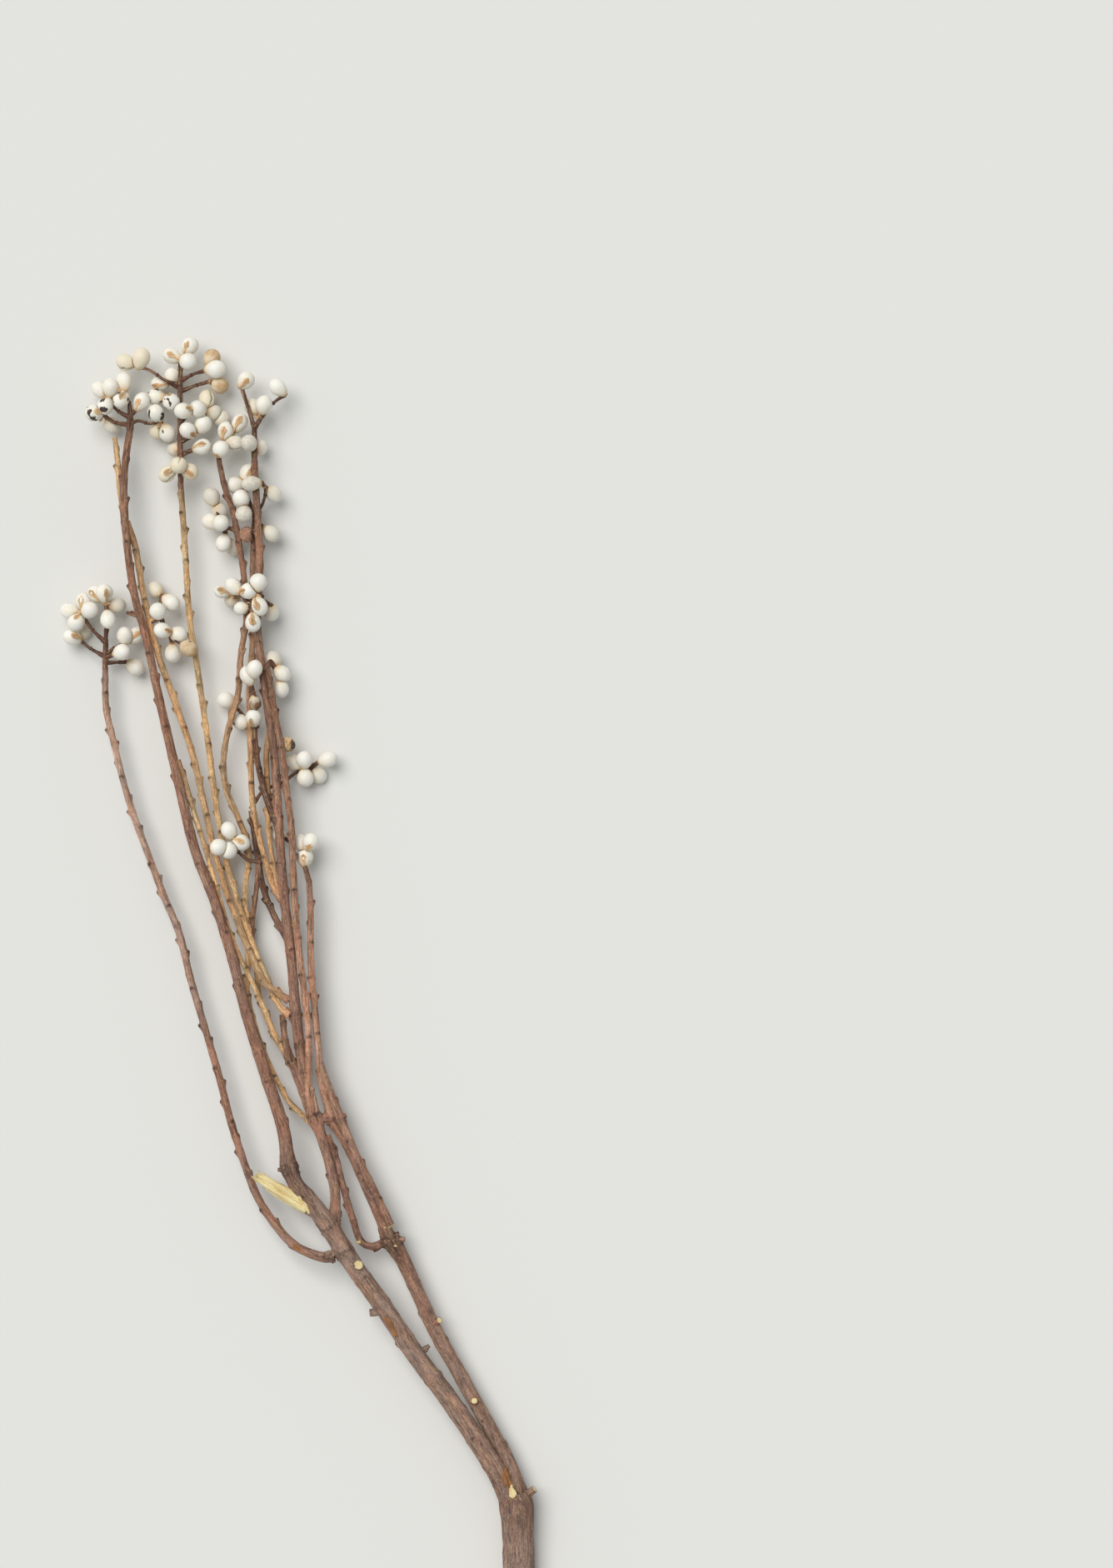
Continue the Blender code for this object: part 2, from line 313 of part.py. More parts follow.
def material(name, colour, roughness):
    mat = bpy.data.materials.new(name)
    mat.use_nodes = True
    shader = mat.node_tree.nodes["Principled BSDF"]
    shader.inputs["Base Color"].default_value = (*colour, 1.0)
    shader.inputs["Roughness"].default_value = roughness
    return mat


def sample_route(route):
    """Points and radii about ROUTE_STEP apart on one smooth curve through the route."""
    knots = [Vector(p[:3]) for p in route]
    radii = [p[3] for p in route]
    first, last = 2 * knots[0] - knots[1], 2 * knots[-1] - knots[-2]
    padded = [first] + knots + [last]
    samples = []
    for k in range(len(knots) - 1):
        a, b, c, d = padded[k:k + 4]
        count = max(1, round((c - b).length / ROUTE_STEP))
        for n in range(count):
            t = n / count
            point = 0.5 * (2 * b + (c - a) * t + (2 * a - 5 * b + 4 * c - d) * t ** 2
                           + (3 * b - a - 3 * c + d) * t ** 3)
            samples.append((point, radii[k] + (radii[k + 1] - radii[k]) * t))
    samples.append((knots[-1], radii[-1]))
    return samples


def stations(samples, scars, rng):
    """Places along a limb where it gets a ring: (sample number, scar side or 0)."""
    last = len(samples) - 1
    places = {0: 0, last: 0}
    if scars:
        at, side = FIRST_SCAR / ROUTE_STEP, 1
        while at < (last - SCAR_CLEAR_OF_END / ROUTE_STEP):
            places[round(at)] = side
            places[round(at - SCAR_SLOPE / ROUTE_STEP)] = 0
            side = -side
            at += SCAR_SPACING + rng.uniform(-1, 1) * SCAR_SPACING_SPREAD
    ordered = sorted(places)
    for low, high in zip(ordered, ordered[1:]):
        bend = heading(samples, low).angle(heading(samples, high))
        pieces = math.ceil(max((high - low) * ROUTE_STEP / LONGEST_SPAN, bend / SHARPEST_BEND))
        for n in range(1, pieces):
            places.setdefault(round(low + (high - low) * n / pieces), 0)
    return sorted(places.items())


def heading(samples, index):
    """The way that the limb runs at this sample."""
    before = samples[max(index - 1, 0)][0]
    after = samples[min(index + 1, len(samples) - 1)][0]
    return (after - before).normalized()


def ring_frame(samples, index, shift):
    """A frame whose unit circle in XY is the limb's ring at this sample."""
    along = heading(samples, index)
    level = Vector((0, 0, 1)) if abs(along.z) < UPRIGHT else Vector((0, 1, 0))
    side = along.cross(level).normalized()
    up = side.cross(along)
    point, radius = samples[index]
    frame = Matrix((side * radius, up * radius, along * radius)).transposed().to_4x4()
    frame.translation = point + side * shift
    return frame


def raise_scar(verts, frame, side):
    """Lifts the ring's outermost corner on one side into a leaf scar."""
    inverse = frame.inverted()
    corner = max(verts, key=lambda v: (inverse @ v.co).x * side)
    centre = frame.translation
    corner.co += (corner.co - centre).normalized() * SCAR_RISE


def limb_mesh(name, sides, route, scars=False, rng=None):
    """A tapering limb with flat ends: one ring drawn along the route, with a raised scar at each node."""
    samples = sample_route(route)
    places = stations(samples, scars, rng)
    bm = bmesh.new()
    frame = ring_frame(samples, 0, 0.0)
    bmesh.ops.create_circle(bm, cap_ends=True, segments=sides, radius=1.0, matrix=frame)
    cap = bm.faces[:]
    scarred = []
    for number, (index, side) in enumerate(places[1:]):
        grown = bmesh.ops.extrude_face_region(bm, geom=cap)["geom"]
        if number > 0:
            bmesh.ops.delete(bm, geom=cap, context="FACES_ONLY")
        cap = [g for g in grown if isinstance(g, bmesh.types.BMFace)]
        verts = [g for g in grown if isinstance(g, bmesh.types.BMVert)]
        target = ring_frame(samples, index, ZIGZAG * side)
        bmesh.ops.transform(bm, matrix=target @ frame.inverted(), verts=verts)
        frame = target
        if side:
            scarred.append((verts, target, side))
    for verts, target, side in scarred:
        raise_scar(verts, target, side)
    return finish_mesh(bm, name)


def seed_mesh(name, centre, hub, half_width, half_length):
    """An egg-shaped seed or capsule whose long axis points away from the end of its stalk."""
    outward = centre - hub
    turn = outward.to_track_quat("Z", "X").to_matrix().to_4x4()
    size = Matrix.Diagonal((half_width, half_width, half_length, 1.0))
    bm = bmesh.new()
    bmesh.ops.create_uvsphere(bm, u_segments=SEED_SEGMENTS, v_segments=SEED_BANDS, radius=1.0,
                              matrix=Matrix.Translation(centre) @ turn @ size)
    return finish_mesh(bm, name)


def finish_mesh(bm, name):
    """Turns the faces out, splits them into triangles and gives the object, now in metres."""
    bmesh.ops.recalc_face_normals(bm, faces=bm.faces[:])
    bmesh.ops.triangulate(bm, faces=bm.faces[:])
    bmesh.ops.scale(bm, vec=(MM, MM, MM), verts=bm.verts[:])
    mesh = bpy.data.meshes.new(name)
    bm.to_mesh(mesh)
    bm.free()
    obj = bpy.data.objects.new(name, mesh)
    return obj


def fuse(name, pieces):
    """Joins the pieces to the first of them with one union, and removes the pieces."""
    base, rest = pieces[0], pieces[1:]
    bpy.context.scene.collection.objects.link(base)
    joined = bpy.data.collections.new(name + "_pieces")
    bpy.context.scene.collection.children.link(joined)
    for piece in rest:
        joined.objects.link(piece)
    union = base.modifiers.new("union", "BOOLEAN")
    union.operation = "UNION"
    union.operand_type = "COLLECTION"
    union.collection = joined
    union.solver = "EXACT"
    evaluated = base.evaluated_get(bpy.context.evaluated_depsgraph_get())
    mesh = bpy.data.meshes.new_from_object(evaluated)
    mesh.name = name
    base.modifiers.clear()
    base.data = mesh
    base.name = name
    for piece in rest:
        bpy.data.objects.remove(piece, do_unlink=True)
    bpy.data.collections.remove(joined)
    drop_scraps(base)
    return base


def drop_scraps(obj):
    """Keeps the largest of the mesh's separate bodies, which also fills a hollow sealed by the union."""
    bm = bmesh.new()
    bm.from_mesh(obj.data)
    left = set(bm.verts)
    bodies = []
    while left:
        front = [left.pop()]
        body = set(front)
        while front:
            vert = front.pop()
            near = {edge.other_vert(vert) for edge in vert.link_edges} - body
            body |= near
            front.extend(near)
        left -= body
        bodies.append(body)
    bodies.sort(key=len)
    for body in bodies[:-1]:
        bmesh.ops.delete(bm, geom=list(body), context="VERTS")
    bm.to_mesh(obj.data)
    bm.free()


def wear_underside(obj):
    """Cuts the object level with the surface that it lies on."""
    bm = bmesh.new()
    bm.from_mesh(obj.data)
    geom = bm.verts[:] + bm.edges[:] + bm.faces[:]
    bmesh.ops.bisect_plane(bm, geom=geom, plane_co=(0, 0, 0), plane_no=(0, 0, 1), clear_inner=True)
    bmesh.ops.holes_fill(bm, edges=[e for e in bm.edges if e.is_boundary], sides=0)
    bmesh.ops.triangulate(bm, faces=bm.faces[:])
    bm.to_mesh(obj.data)
    bm.free()


def woody_stem():
    """The trunk with its branches, twigs, buds, scars and stubs, which grew as one piece."""
    rng = random.Random(RANDOM_SEED)
    pieces = [limb_mesh("trunk", TRUNK_SIDES, TRUNK)]
    for name, (sides, scars, route) in LIMBS.items():
        pieces.append(limb_mesh(name, sides, route, scars, rng))
    for number, (x, y, z, half_width, half_length) in enumerate(OLD_FRUITS):
        centre = Vector((x, y, z))
        under = centre - Vector((0, 0, 1))
        pieces.append(seed_mesh(f"old_fruit_{number}", centre, under, half_width, half_length))
    return fuse("woody_stem", pieces)


def spray(name, plan, rng):
    """One head of berries: its dark stalks and its seeds, fused where they grow together."""
    pieces = [limb_mesh(name + "_rachis", RACHIS_SIDES, plan["rachis"])]
    for number, (stalk, seeds) in enumerate(plan["fruits"]):
        route = [(*point, STALK_RADIUS) for point in stalk]
        pieces.append(limb_mesh(f"{name}_stalk_{number}", STALK_SIDES, route))
        hub = Vector(stalk[-1])
        for at, seed in enumerate(seeds):
            centre = Vector(seed[:3])
            scale = (seed[3] if len(seed) > 3 else 1.0) * (1.0 + rng.uniform(-1, 1) * SEED_SPREAD)
            pieces.append(seed_mesh(f"{name}_seed_{number}_{at}", centre, hub,
                                    SEED_HALF_WIDTH * scale, SEED_HALF_LENGTH * scale))
            if (centre - hub).length > SEED_HALF_WIDTH * SUNK_WELL_IN:
                pedicel = [(*hub, PEDICEL_RADIUS), (*centre, PEDICEL_RADIUS)]
                pieces.append(limb_mesh(f"{name}_pedicel_{number}_{at}", PEDICEL_SIDES, pedicel))
    return fuse(name, pieces)


def main():
    clear_scene()
    bark = material("bark", (0.20, 0.11, 0.07), 0.8)
    wax = material("seed_wax", (0.86, 0.84, 0.77), 0.45)
    stem = woody_stem()
    stem.data.materials.clear()
    stem.data.materials.append(bark)
    rng = random.Random(RANDOM_SEED)
    parts = [stem]
    for name, plan in SPRAYS.items():
        part = spray(name, plan, rng)
        part.data.materials.clear()
        part.data.materials.append(wax)
        parts.append(part)
    for part in parts:
        if part.name in RESTING:
            wear_underside(part)


main()
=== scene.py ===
"""Looks of a dried tallow berry stem, cut and laid down flat: its bark, seeds, husks and cut wood."""
import math
import random
from bisect import bisect_right

import bmesh
import bpy
from bpy.props import FloatProperty, FloatVectorProperty, IntProperty, PointerProperty
from mathutils import Matrix, Quaternion, Vector, noise
from mathutils.kdtree import KDTree


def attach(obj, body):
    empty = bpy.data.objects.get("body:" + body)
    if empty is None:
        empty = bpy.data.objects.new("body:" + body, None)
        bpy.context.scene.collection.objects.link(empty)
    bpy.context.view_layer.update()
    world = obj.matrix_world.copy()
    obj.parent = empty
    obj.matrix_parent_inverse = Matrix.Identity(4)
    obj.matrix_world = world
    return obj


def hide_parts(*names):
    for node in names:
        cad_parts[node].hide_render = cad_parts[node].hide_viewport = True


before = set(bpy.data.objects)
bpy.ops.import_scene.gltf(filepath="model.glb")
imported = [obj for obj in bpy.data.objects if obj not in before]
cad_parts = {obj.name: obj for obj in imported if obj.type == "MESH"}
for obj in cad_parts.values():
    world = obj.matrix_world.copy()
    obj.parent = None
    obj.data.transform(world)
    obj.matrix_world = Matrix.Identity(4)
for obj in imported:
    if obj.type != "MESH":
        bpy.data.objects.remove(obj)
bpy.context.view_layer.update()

bl_info = {
    "name": "Dried tallow berry stem",
    "version": (1, 0, 0),
    "blender": (4, 5, 0),
    "location": "3D view > Sidebar > Tallow stem",
    "description": "Dresses the packed stem with bark, berries, husks and cut wood",
    "category": "Object",
}

# Every route and place in the tables is in millimetres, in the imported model's frame.
MM = 0.001
UP = Vector((0.0, 0.0, 1.0))

TRUNK = [(98.0, -302.0, 6.3, 6.9), (95.5, -262.0, 6.25, 6.8), (94.3, -232.0, 7.1, 6.8),
         (93.3, -206.0, 9.0, 7.0), (92.0, -200.0, 9.3, 5.6)]

# Name: (tone at its foot, tone at its tip, route). Each route starts inside the limb that it grows from.
LIMBS = {
    "branch_left": ("grey", "grey", [
        (93.3, -206.0, 9.0, 5.2), (82.4, -186.5, 10.8, 4.3), (67.0, -163.0, 12.3, 4.1),
        (51.0, -141.5, 13.6, 4.0), (36.0, -119.0, 14.8, 4.0), (24.5, -103.0, 15.4, 3.9),
        (14.5, -87.5, 15.8, 4.0), (4.3, -73.0, 16.0, 3.7), (-2.0, -65.5, 16.0, 3.3),
        (-4.8, -57.0, 15.9, 3.2)]),
    "branch_right": ("grey", "red", [
        (94.0, -204.0, 8.6, 4.4), (90.4, -189.0, 8.2, 3.4), (82.4, -173.2, 8.2, 3.1),
        (67.3, -146.2, 8.7, 3.1), (58.0, -129.5, 9.0, 3.1), (51.5, -115.5, 9.2, 3.1),
        (44.5, -100.0, 9.4, 3.1), (38.2, -89.0, 9.6, 3.7)]),
    "twig_far_left": ("red", "ash", [
        (15.0, -97.0, 15.0, 2.5), (8.6, -97.2, 14.6, 2.1), (-2.2, -92.5, 13.8, 1.9),
        (-11.2, -83.2, 12.8, 1.8), (-18.4, -72.0, 11.9, 1.7), (-23.8, -58.7, 11.0, 1.6),
        (-30.3, -38.9, 10.3, 1.6), (-35.0, -20.9, 10.0, 1.55), (-41.0, -0.4, 9.6, 1.5),
        (-47.2, 20.5, 9.3, 1.5), (-52.6, 42.0, 9.1, 1.5), (-59.8, 59.5, 9.0, 1.5),
        (-67.0, 78.8, 9.0, 1.45), (-72.6, 94.0, 9.0, 1.45), (-77.0, 108.7, 9.0, 1.4),
        (-81.4, 126.7, 9.0, 1.4), (-84.2, 139.5, 9.0, 1.4), (-84.6, 156.0, 9.0, 1.3)]),
    "stem_left": ("red", "brown", [
        (-4.8, -60.0, 15.8, 3.0), (-7.6, -40.7, 15.6, 2.8), (-14.8, -19.0, 15.2, 2.6),
        (-22.7, 6.0, 14.8, 2.4), (-29.2, 31.3, 14.4, 2.3), (-37.1, 56.5, 14.0, 2.2),
        (-45.4, 78.0, 13.8, 2.15), (-50.8, 99.7, 13.6, 2.1), (-56.2, 123.0, 13.5, 1.95),
        (-61.6, 146.5, 13.5, 1.8), (-66.6, 170.0, 13.6, 1.7), (-72.0, 190.4, 13.8, 1.65),
        (-75.6, 218.5, 13.6, 1.6), (-76.0, 240.0, 13.0, 1.6), (-74.2, 256.0, 12.6, 1.5)]),
    "twiglet_left": ("ochre", "straw", [
        (-76.0, 222.0, 12.8, 1.2), (-77.9, 234.0, 12.2, 1.3), (-79.2, 247.0, 10.8, 1.25),
        (-80.4, 256.4, 9.8, 1.0)]),
    "twig_beside_left": ("ochre", "ochre", [
        (-5.0, 13.0, 12.8, 1.6), (-15.5, 21.2, 12.0, 1.45), (-22.7, 36.0, 11.4, 1.4),
        (-31.0, 57.2, 10.8, 1.4), (-37.4, 78.0, 10.5, 1.4), (-41.8, 98.0, 10.4, 1.4),
        (-46.8, 119.5, 10.4, 1.4), (-53.6, 140.0, 10.5, 1.4), (-61.6, 162.7, 10.6, 1.4),
        (-66.6, 182.5, 10.8, 1.4), (-68.8, 193.3, 11.0, 1.35), (-71.3, 208.4, 11.6, 1.4),
        (-74.9, 220.0, 12.8, 1.4)]),
    "twig_yellow": ("straw", "straw", [
        (-3.2, 5.4, 12.6, 1.6), (-9.4, 11.5, 11.4, 1.4), (-18.4, 31.3, 10.0, 1.35),
        (-26.3, 52.9, 9.4, 1.3), (-32.4, 74.5, 9.0, 1.3), (-36.4, 96.0, 8.8, 1.3),
        (-40.7, 128.5, 8.8, 1.3), (-44.6, 155.5, 8.8, 1.3), (-48.2, 179.0, 9.0, 1.3),
        (-50.0, 207.7, 9.6, 1.3), (-51.8, 234.0, 10.0, 1.3)]),
    "twig_thin_yellow": ("straw", "straw", [
        (-5.8, -11.0, 13.0, 1.4), (-11.2, -1.1, 12.6, 1.2), (-19.4, 18.0, 12.2, 1.1),
        (-28.4, 36.7, 12.0, 1.1), (-34.9, 56.5, 12.0, 1.1), (-40.3, 76.3, 12.0, 1.1),
        (-45.4, 92.5, 12.2, 1.1), (-49.5, 107.0, 12.8, 1.1), (-52.8, 117.0, 13.4, 1.1)]),
    "twig_long": ("straw", "brown", [
        (7.0, -42.0, 12.4, 1.4), (-0.4, -35.3, 10.6, 1.2), (-7.6, -27.0, 9.4, 1.15),
        (-17.3, -5.8, 8.2, 1.1), (-23.0, 15.0, 7.4, 1.1), (-23.0, 30.0, 7.2, 1.15),
        (-24.1, 60.0, 7.4, 1.2), (-22.6, 78.0, 7.8, 1.2), (-27.4, 92.5, 8.4, 1.25),
        (-32.0, 103.3, 9.0, 1.3), (-33.5, 114.0, 9.6, 1.3), (-32.4, 125.0, 10.0, 1.3),
        (-29.9, 135.7, 10.2, 1.3), (-27.0, 146.5, 10.2, 1.3), (-25.9, 162.7, 9.8, 1.3),
        (-23.6, 178.0, 9.2, 1.3), (-24.6, 196.0, 9.2, 1.3), (-28.8, 222.0, 10.4, 1.25),
        (-32.8, 234.7, 11.0, 1.2), (-34.4, 242.0, 11.0, 1.2)]),
    "twig_crossing": ("ochre", "brown", [
        (-5.8, -11.0, 11.8, 1.3), (-11.9, -1.0, 9.8, 1.2), (-17.6, 13.3, 7.6, 1.1),
        (-19.4, 26.0, 6.8, 1.1), (-21.3, 40.0, 6.8, 1.1), (-21.0, 48.0, 7.2, 1.1),
        (-19.4, 60.0, 8.4, 1.1), (-18.3, 72.0, 9.2, 1.1)]),
    "stem_middle": ("red", "brown", [
        (14.6, -84.0, 14.8, 2.5), (15.1, -71.3, 13.6, 2.2), (13.3, -60.5, 13.0, 2.15),
        (10.4, -49.7, 12.7, 2.2), (6.1, -37.1, 12.6, 2.4), (2.5, -26.3, 12.6, 2.4),
        (-1.4, 2.5, 12.6, 2.3), (-4.0, 31.3, 12.6, 2.1), (-7.2, 60.0, 12.5, 1.95),
        (-9.4, 89.0, 12.4, 1.85), (-11.2, 117.7, 12.3, 1.8), (-15.1, 146.5, 12.3, 1.75),
        (-18.7, 175.3, 12.2, 1.7), (-17.6, 200.5, 12.2, 1.6), (-18.6, 222.0, 12.2, 1.5),
        (-19.7, 240.0, 12.2, 1.45), (-19.8, 245.5, 12.2, 1.4)]),
    "knee_stub": ("red", "brown", [
        (4.0, -31.5, 13.0, 2.1), (-2.2, -17.3, 13.2, 1.9), (-5.2, -10.0, 13.0, 1.9),
        (-6.8, -2.9, 12.6, 1.4), (-7.9, 7.0, 12.0, 1.2)]),
    "twig_tan": ("ochre", "brown", [
        (-8.0, 56.0, 12.0, 1.4), (-12.5, 64.0, 11.4, 1.3), (-15.1, 72.7, 11.0, 1.25),
        (-18.4, 85.3, 10.6, 1.25), (-20.9, 99.7, 10.2, 1.25), (-21.8, 123.0, 10.0, 1.25),
        (-22.3, 146.5, 9.4, 1.25), (-20.9, 168.0, 8.8, 1.25), (-20.5, 179.0, 8.6, 1.25),
        (-20.9, 200.5, 8.4, 1.2), (-20.2, 218.0, 8.2, 1.15)]),
    "twig_hidden": ("ochre", "ochre", [
        (-8.4, 58.0, 11.6, 1.3), (-11.7, 71.0, 10.2, 1.2), (-13.8, 85.3, 9.8, 1.2),
        (-14.3, 103.3, 9.8, 1.2), (-14.8, 120.0, 10.4, 1.2), (-13.2, 132.0, 12.2, 1.1)]),
    "twig_dark_low": ("dark", "dark", [
        (-5.8, 40.0, 12.0, 1.5), (-11.9, 50.4, 10.8, 1.3), (-16.6, 63.0, 9.4, 1.3),
        (-18.5, 74.5, 8.6, 1.2), (-20.2, 84.0, 7.8, 1.1), (-21.9, 95.0, 7.2, 1.0)]),
    "twig_dark_high": ("dark", "dark", [
        (-9.4, 88.0, 12.5, 1.5), (-13.3, 96.1, 13.1, 1.3), (-16.9, 108.7, 13.1, 1.25),
        (-19.1, 119.5, 12.9, 1.2), (-19.6, 127.0, 12.4, 1.1)]),
    "twig_reddish": ("pink", "brown", [
        (5.0, -39.0, 13.0, 1.7), (3.6, -22.7, 15.4, 1.5), (3.5, -1.0, 14.8, 1.45),
        (2.2, 13.3, 14.4, 1.45), (-1.4, 42.0, 14.2, 1.45), (-3.2, 71.0, 14.2, 1.45),
        (-3.8, 87.0, 14.2, 1.45), (-6.3, 107.0, 14.4, 1.4), (-7.8, 121.0, 14.6, 1.4),
        (-10.0, 132.0, 14.8, 1.35), (-12.4, 146.0, 15.0, 1.3), (-14.2, 157.0, 15.0, 1.2)]),
    "twig_right": ("pink", "pink", [
        (14.5, -40.0, 11.8, 1.9), (9.9, -26.0, 12.6, 1.6), (7.9, -10.0, 12.8, 1.5),
        (6.1, 9.7, 12.4, 1.45), (4.5, 30.0, 12.0, 1.4), (4.3, 51.0, 11.7, 1.35),
        (3.6, 64.0, 11.5, 1.3)]),
    "twig_right_low": ("red", "red", [
        (38.2, -90.5, 9.2, 1.8), (31.5, -93.2, 9.2, 1.6), (26.0, -91.0, 9.6, 1.5),
        (22.7, -82.0, 10.2, 1.45), (18.4, -67.7, 11.0, 1.45), (15.0, -54.0, 11.8, 1.4),
        (11.6, -45.0, 12.4, 1.4)]),
    "twig_right_middle": ("red", "red", [
        (38.2, -90.5, 9.6, 2.5), (33.5, -79.0, 10.0, 2.2), (27.7, -66.0, 10.4, 2.1),
        (21.2, -51.5, 10.9, 2.1), (13.6, -38.9, 11.6, 2.3), (8.0, -37.5, 12.2, 1.9)]),
    "twig_right_torn": ("red", "pink", [
        (38.9, -83.8, 12.4, 1.6), (34.6, -75.0, 12.4, 1.7), (31.0, -67.3, 12.4, 1.7),
        (24.3, -54.4, 12.6, 1.7), (17.0, -37.0, 12.8, 1.9), (12.0, -24.0, 12.9, 1.6),
        (8.3, -13.0, 12.8, 1.4)]),
    "twiglet_pink": ("pink", "pink", [
        (9.7, -40.7, 13.6, 1.1), (7.2, -33.5, 14.4, 0.8), (6.0, -27.0, 14.6, 0.6)]),
    "peduncle_2": ("ochre", "dark", [(-65.6, 177.0, 10.8, 1.0), (-62.4, 177.4, 12.0, 0.85)]),
    "peduncle_5": ("ochre", "dark", [(-27.4, 216.0, 10.1, 1.0), (-30.2, 217.0, 9.6, 0.9)]),
    "peduncle_6": ("brown", "dark", [(-18.5, 181.0, 12.4, 1.0), (-20.4, 181.6, 14.6, 0.9)]),
    "stalk_bare": ("brown", "dark", [
        (-69.0, 178.6, 13.2, 1.0), (-72.6, 179.8, 11.0, 0.75), (-75.2, 180.7, 9.8, 0.65)]),
}

# Name: (tone, how the end looks, route)
STUBS = {
    "stub_knob": ("grey", "worn", [
        (37.0, -118.5, 14.8, 2.2), (32.5, -121.0, 14.6, 1.9), (29.9, -121.4, 14.6, 1.6)]),
    "stub_sawn": ("grey", "cut", [(24.6, -101.2, 15.4, 2.6), (25.3, -100.3, 20.0, 2.15)]),
    "stub_right_pale": ("red", "cut", [(56.6, -127.2, 9.0, 1.8), (60.0, -124.8, 12.6, 1.55)]),
    "stub_small_pale": ("red", "cut", [(75.3, -161.2, 8.6, 1.8), (75.0, -159.6, 12.5, 1.5)]),
    "stub_fork_pale": ("grey", "cut", [(93.5, -204.0, 9.0, 2.4), (101.0, -197.8, 11.4, 1.6)]),
    "bud_branch": ("grey", "worn", [(51.0, -139.5, 13.8, 1.8), (55.6, -135.6, 14.2, 0.9)]),
    "bud_node_left": ("grey", "worn", [(-4.5, -59.5, 15.6, 1.9), (-9.7, -59.6, 15.8, 0.7)]),
    "bud_node_right": ("grey", "worn", [(-4.0, -59.5, 15.6, 1.5), (-1.0, -61.5, 17.6, 0.8)]),
    "bud_right_knee": ("grey", "worn", [(38.5, -90.0, 9.8, 1.8), (45.0, -90.2, 10.4, 1.2)]),
    "bud_left_knee": ("grey", "worn", [(38.0, -90.0, 9.8, 1.6), (34.4, -88.4, 11.8, 0.7)]),
    "bud_collar": ("red", "worn", [(16.5, -37.6, 12.6, 1.6), (19.6, -36.4, 13.0, 1.0)]),
}
SPLIT_STUB = [(6.0, -77.0, 15.4, 3.3), (-2.0, -72.5, 15.6, 3.6), (-10.0, -68.0, 16.2, 3.0),
              (-18.6, -62.4, 16.8, 2.4)]

# Shrivelled brown fruits: tone, x, y, z, half width, half length
OLD_FRUITS = [("pink", -23.2, 214.4, 10.6, 3.5, 3.9), ("husk", -5.7, 123.6, 11.2, 3.3, 3.5)]

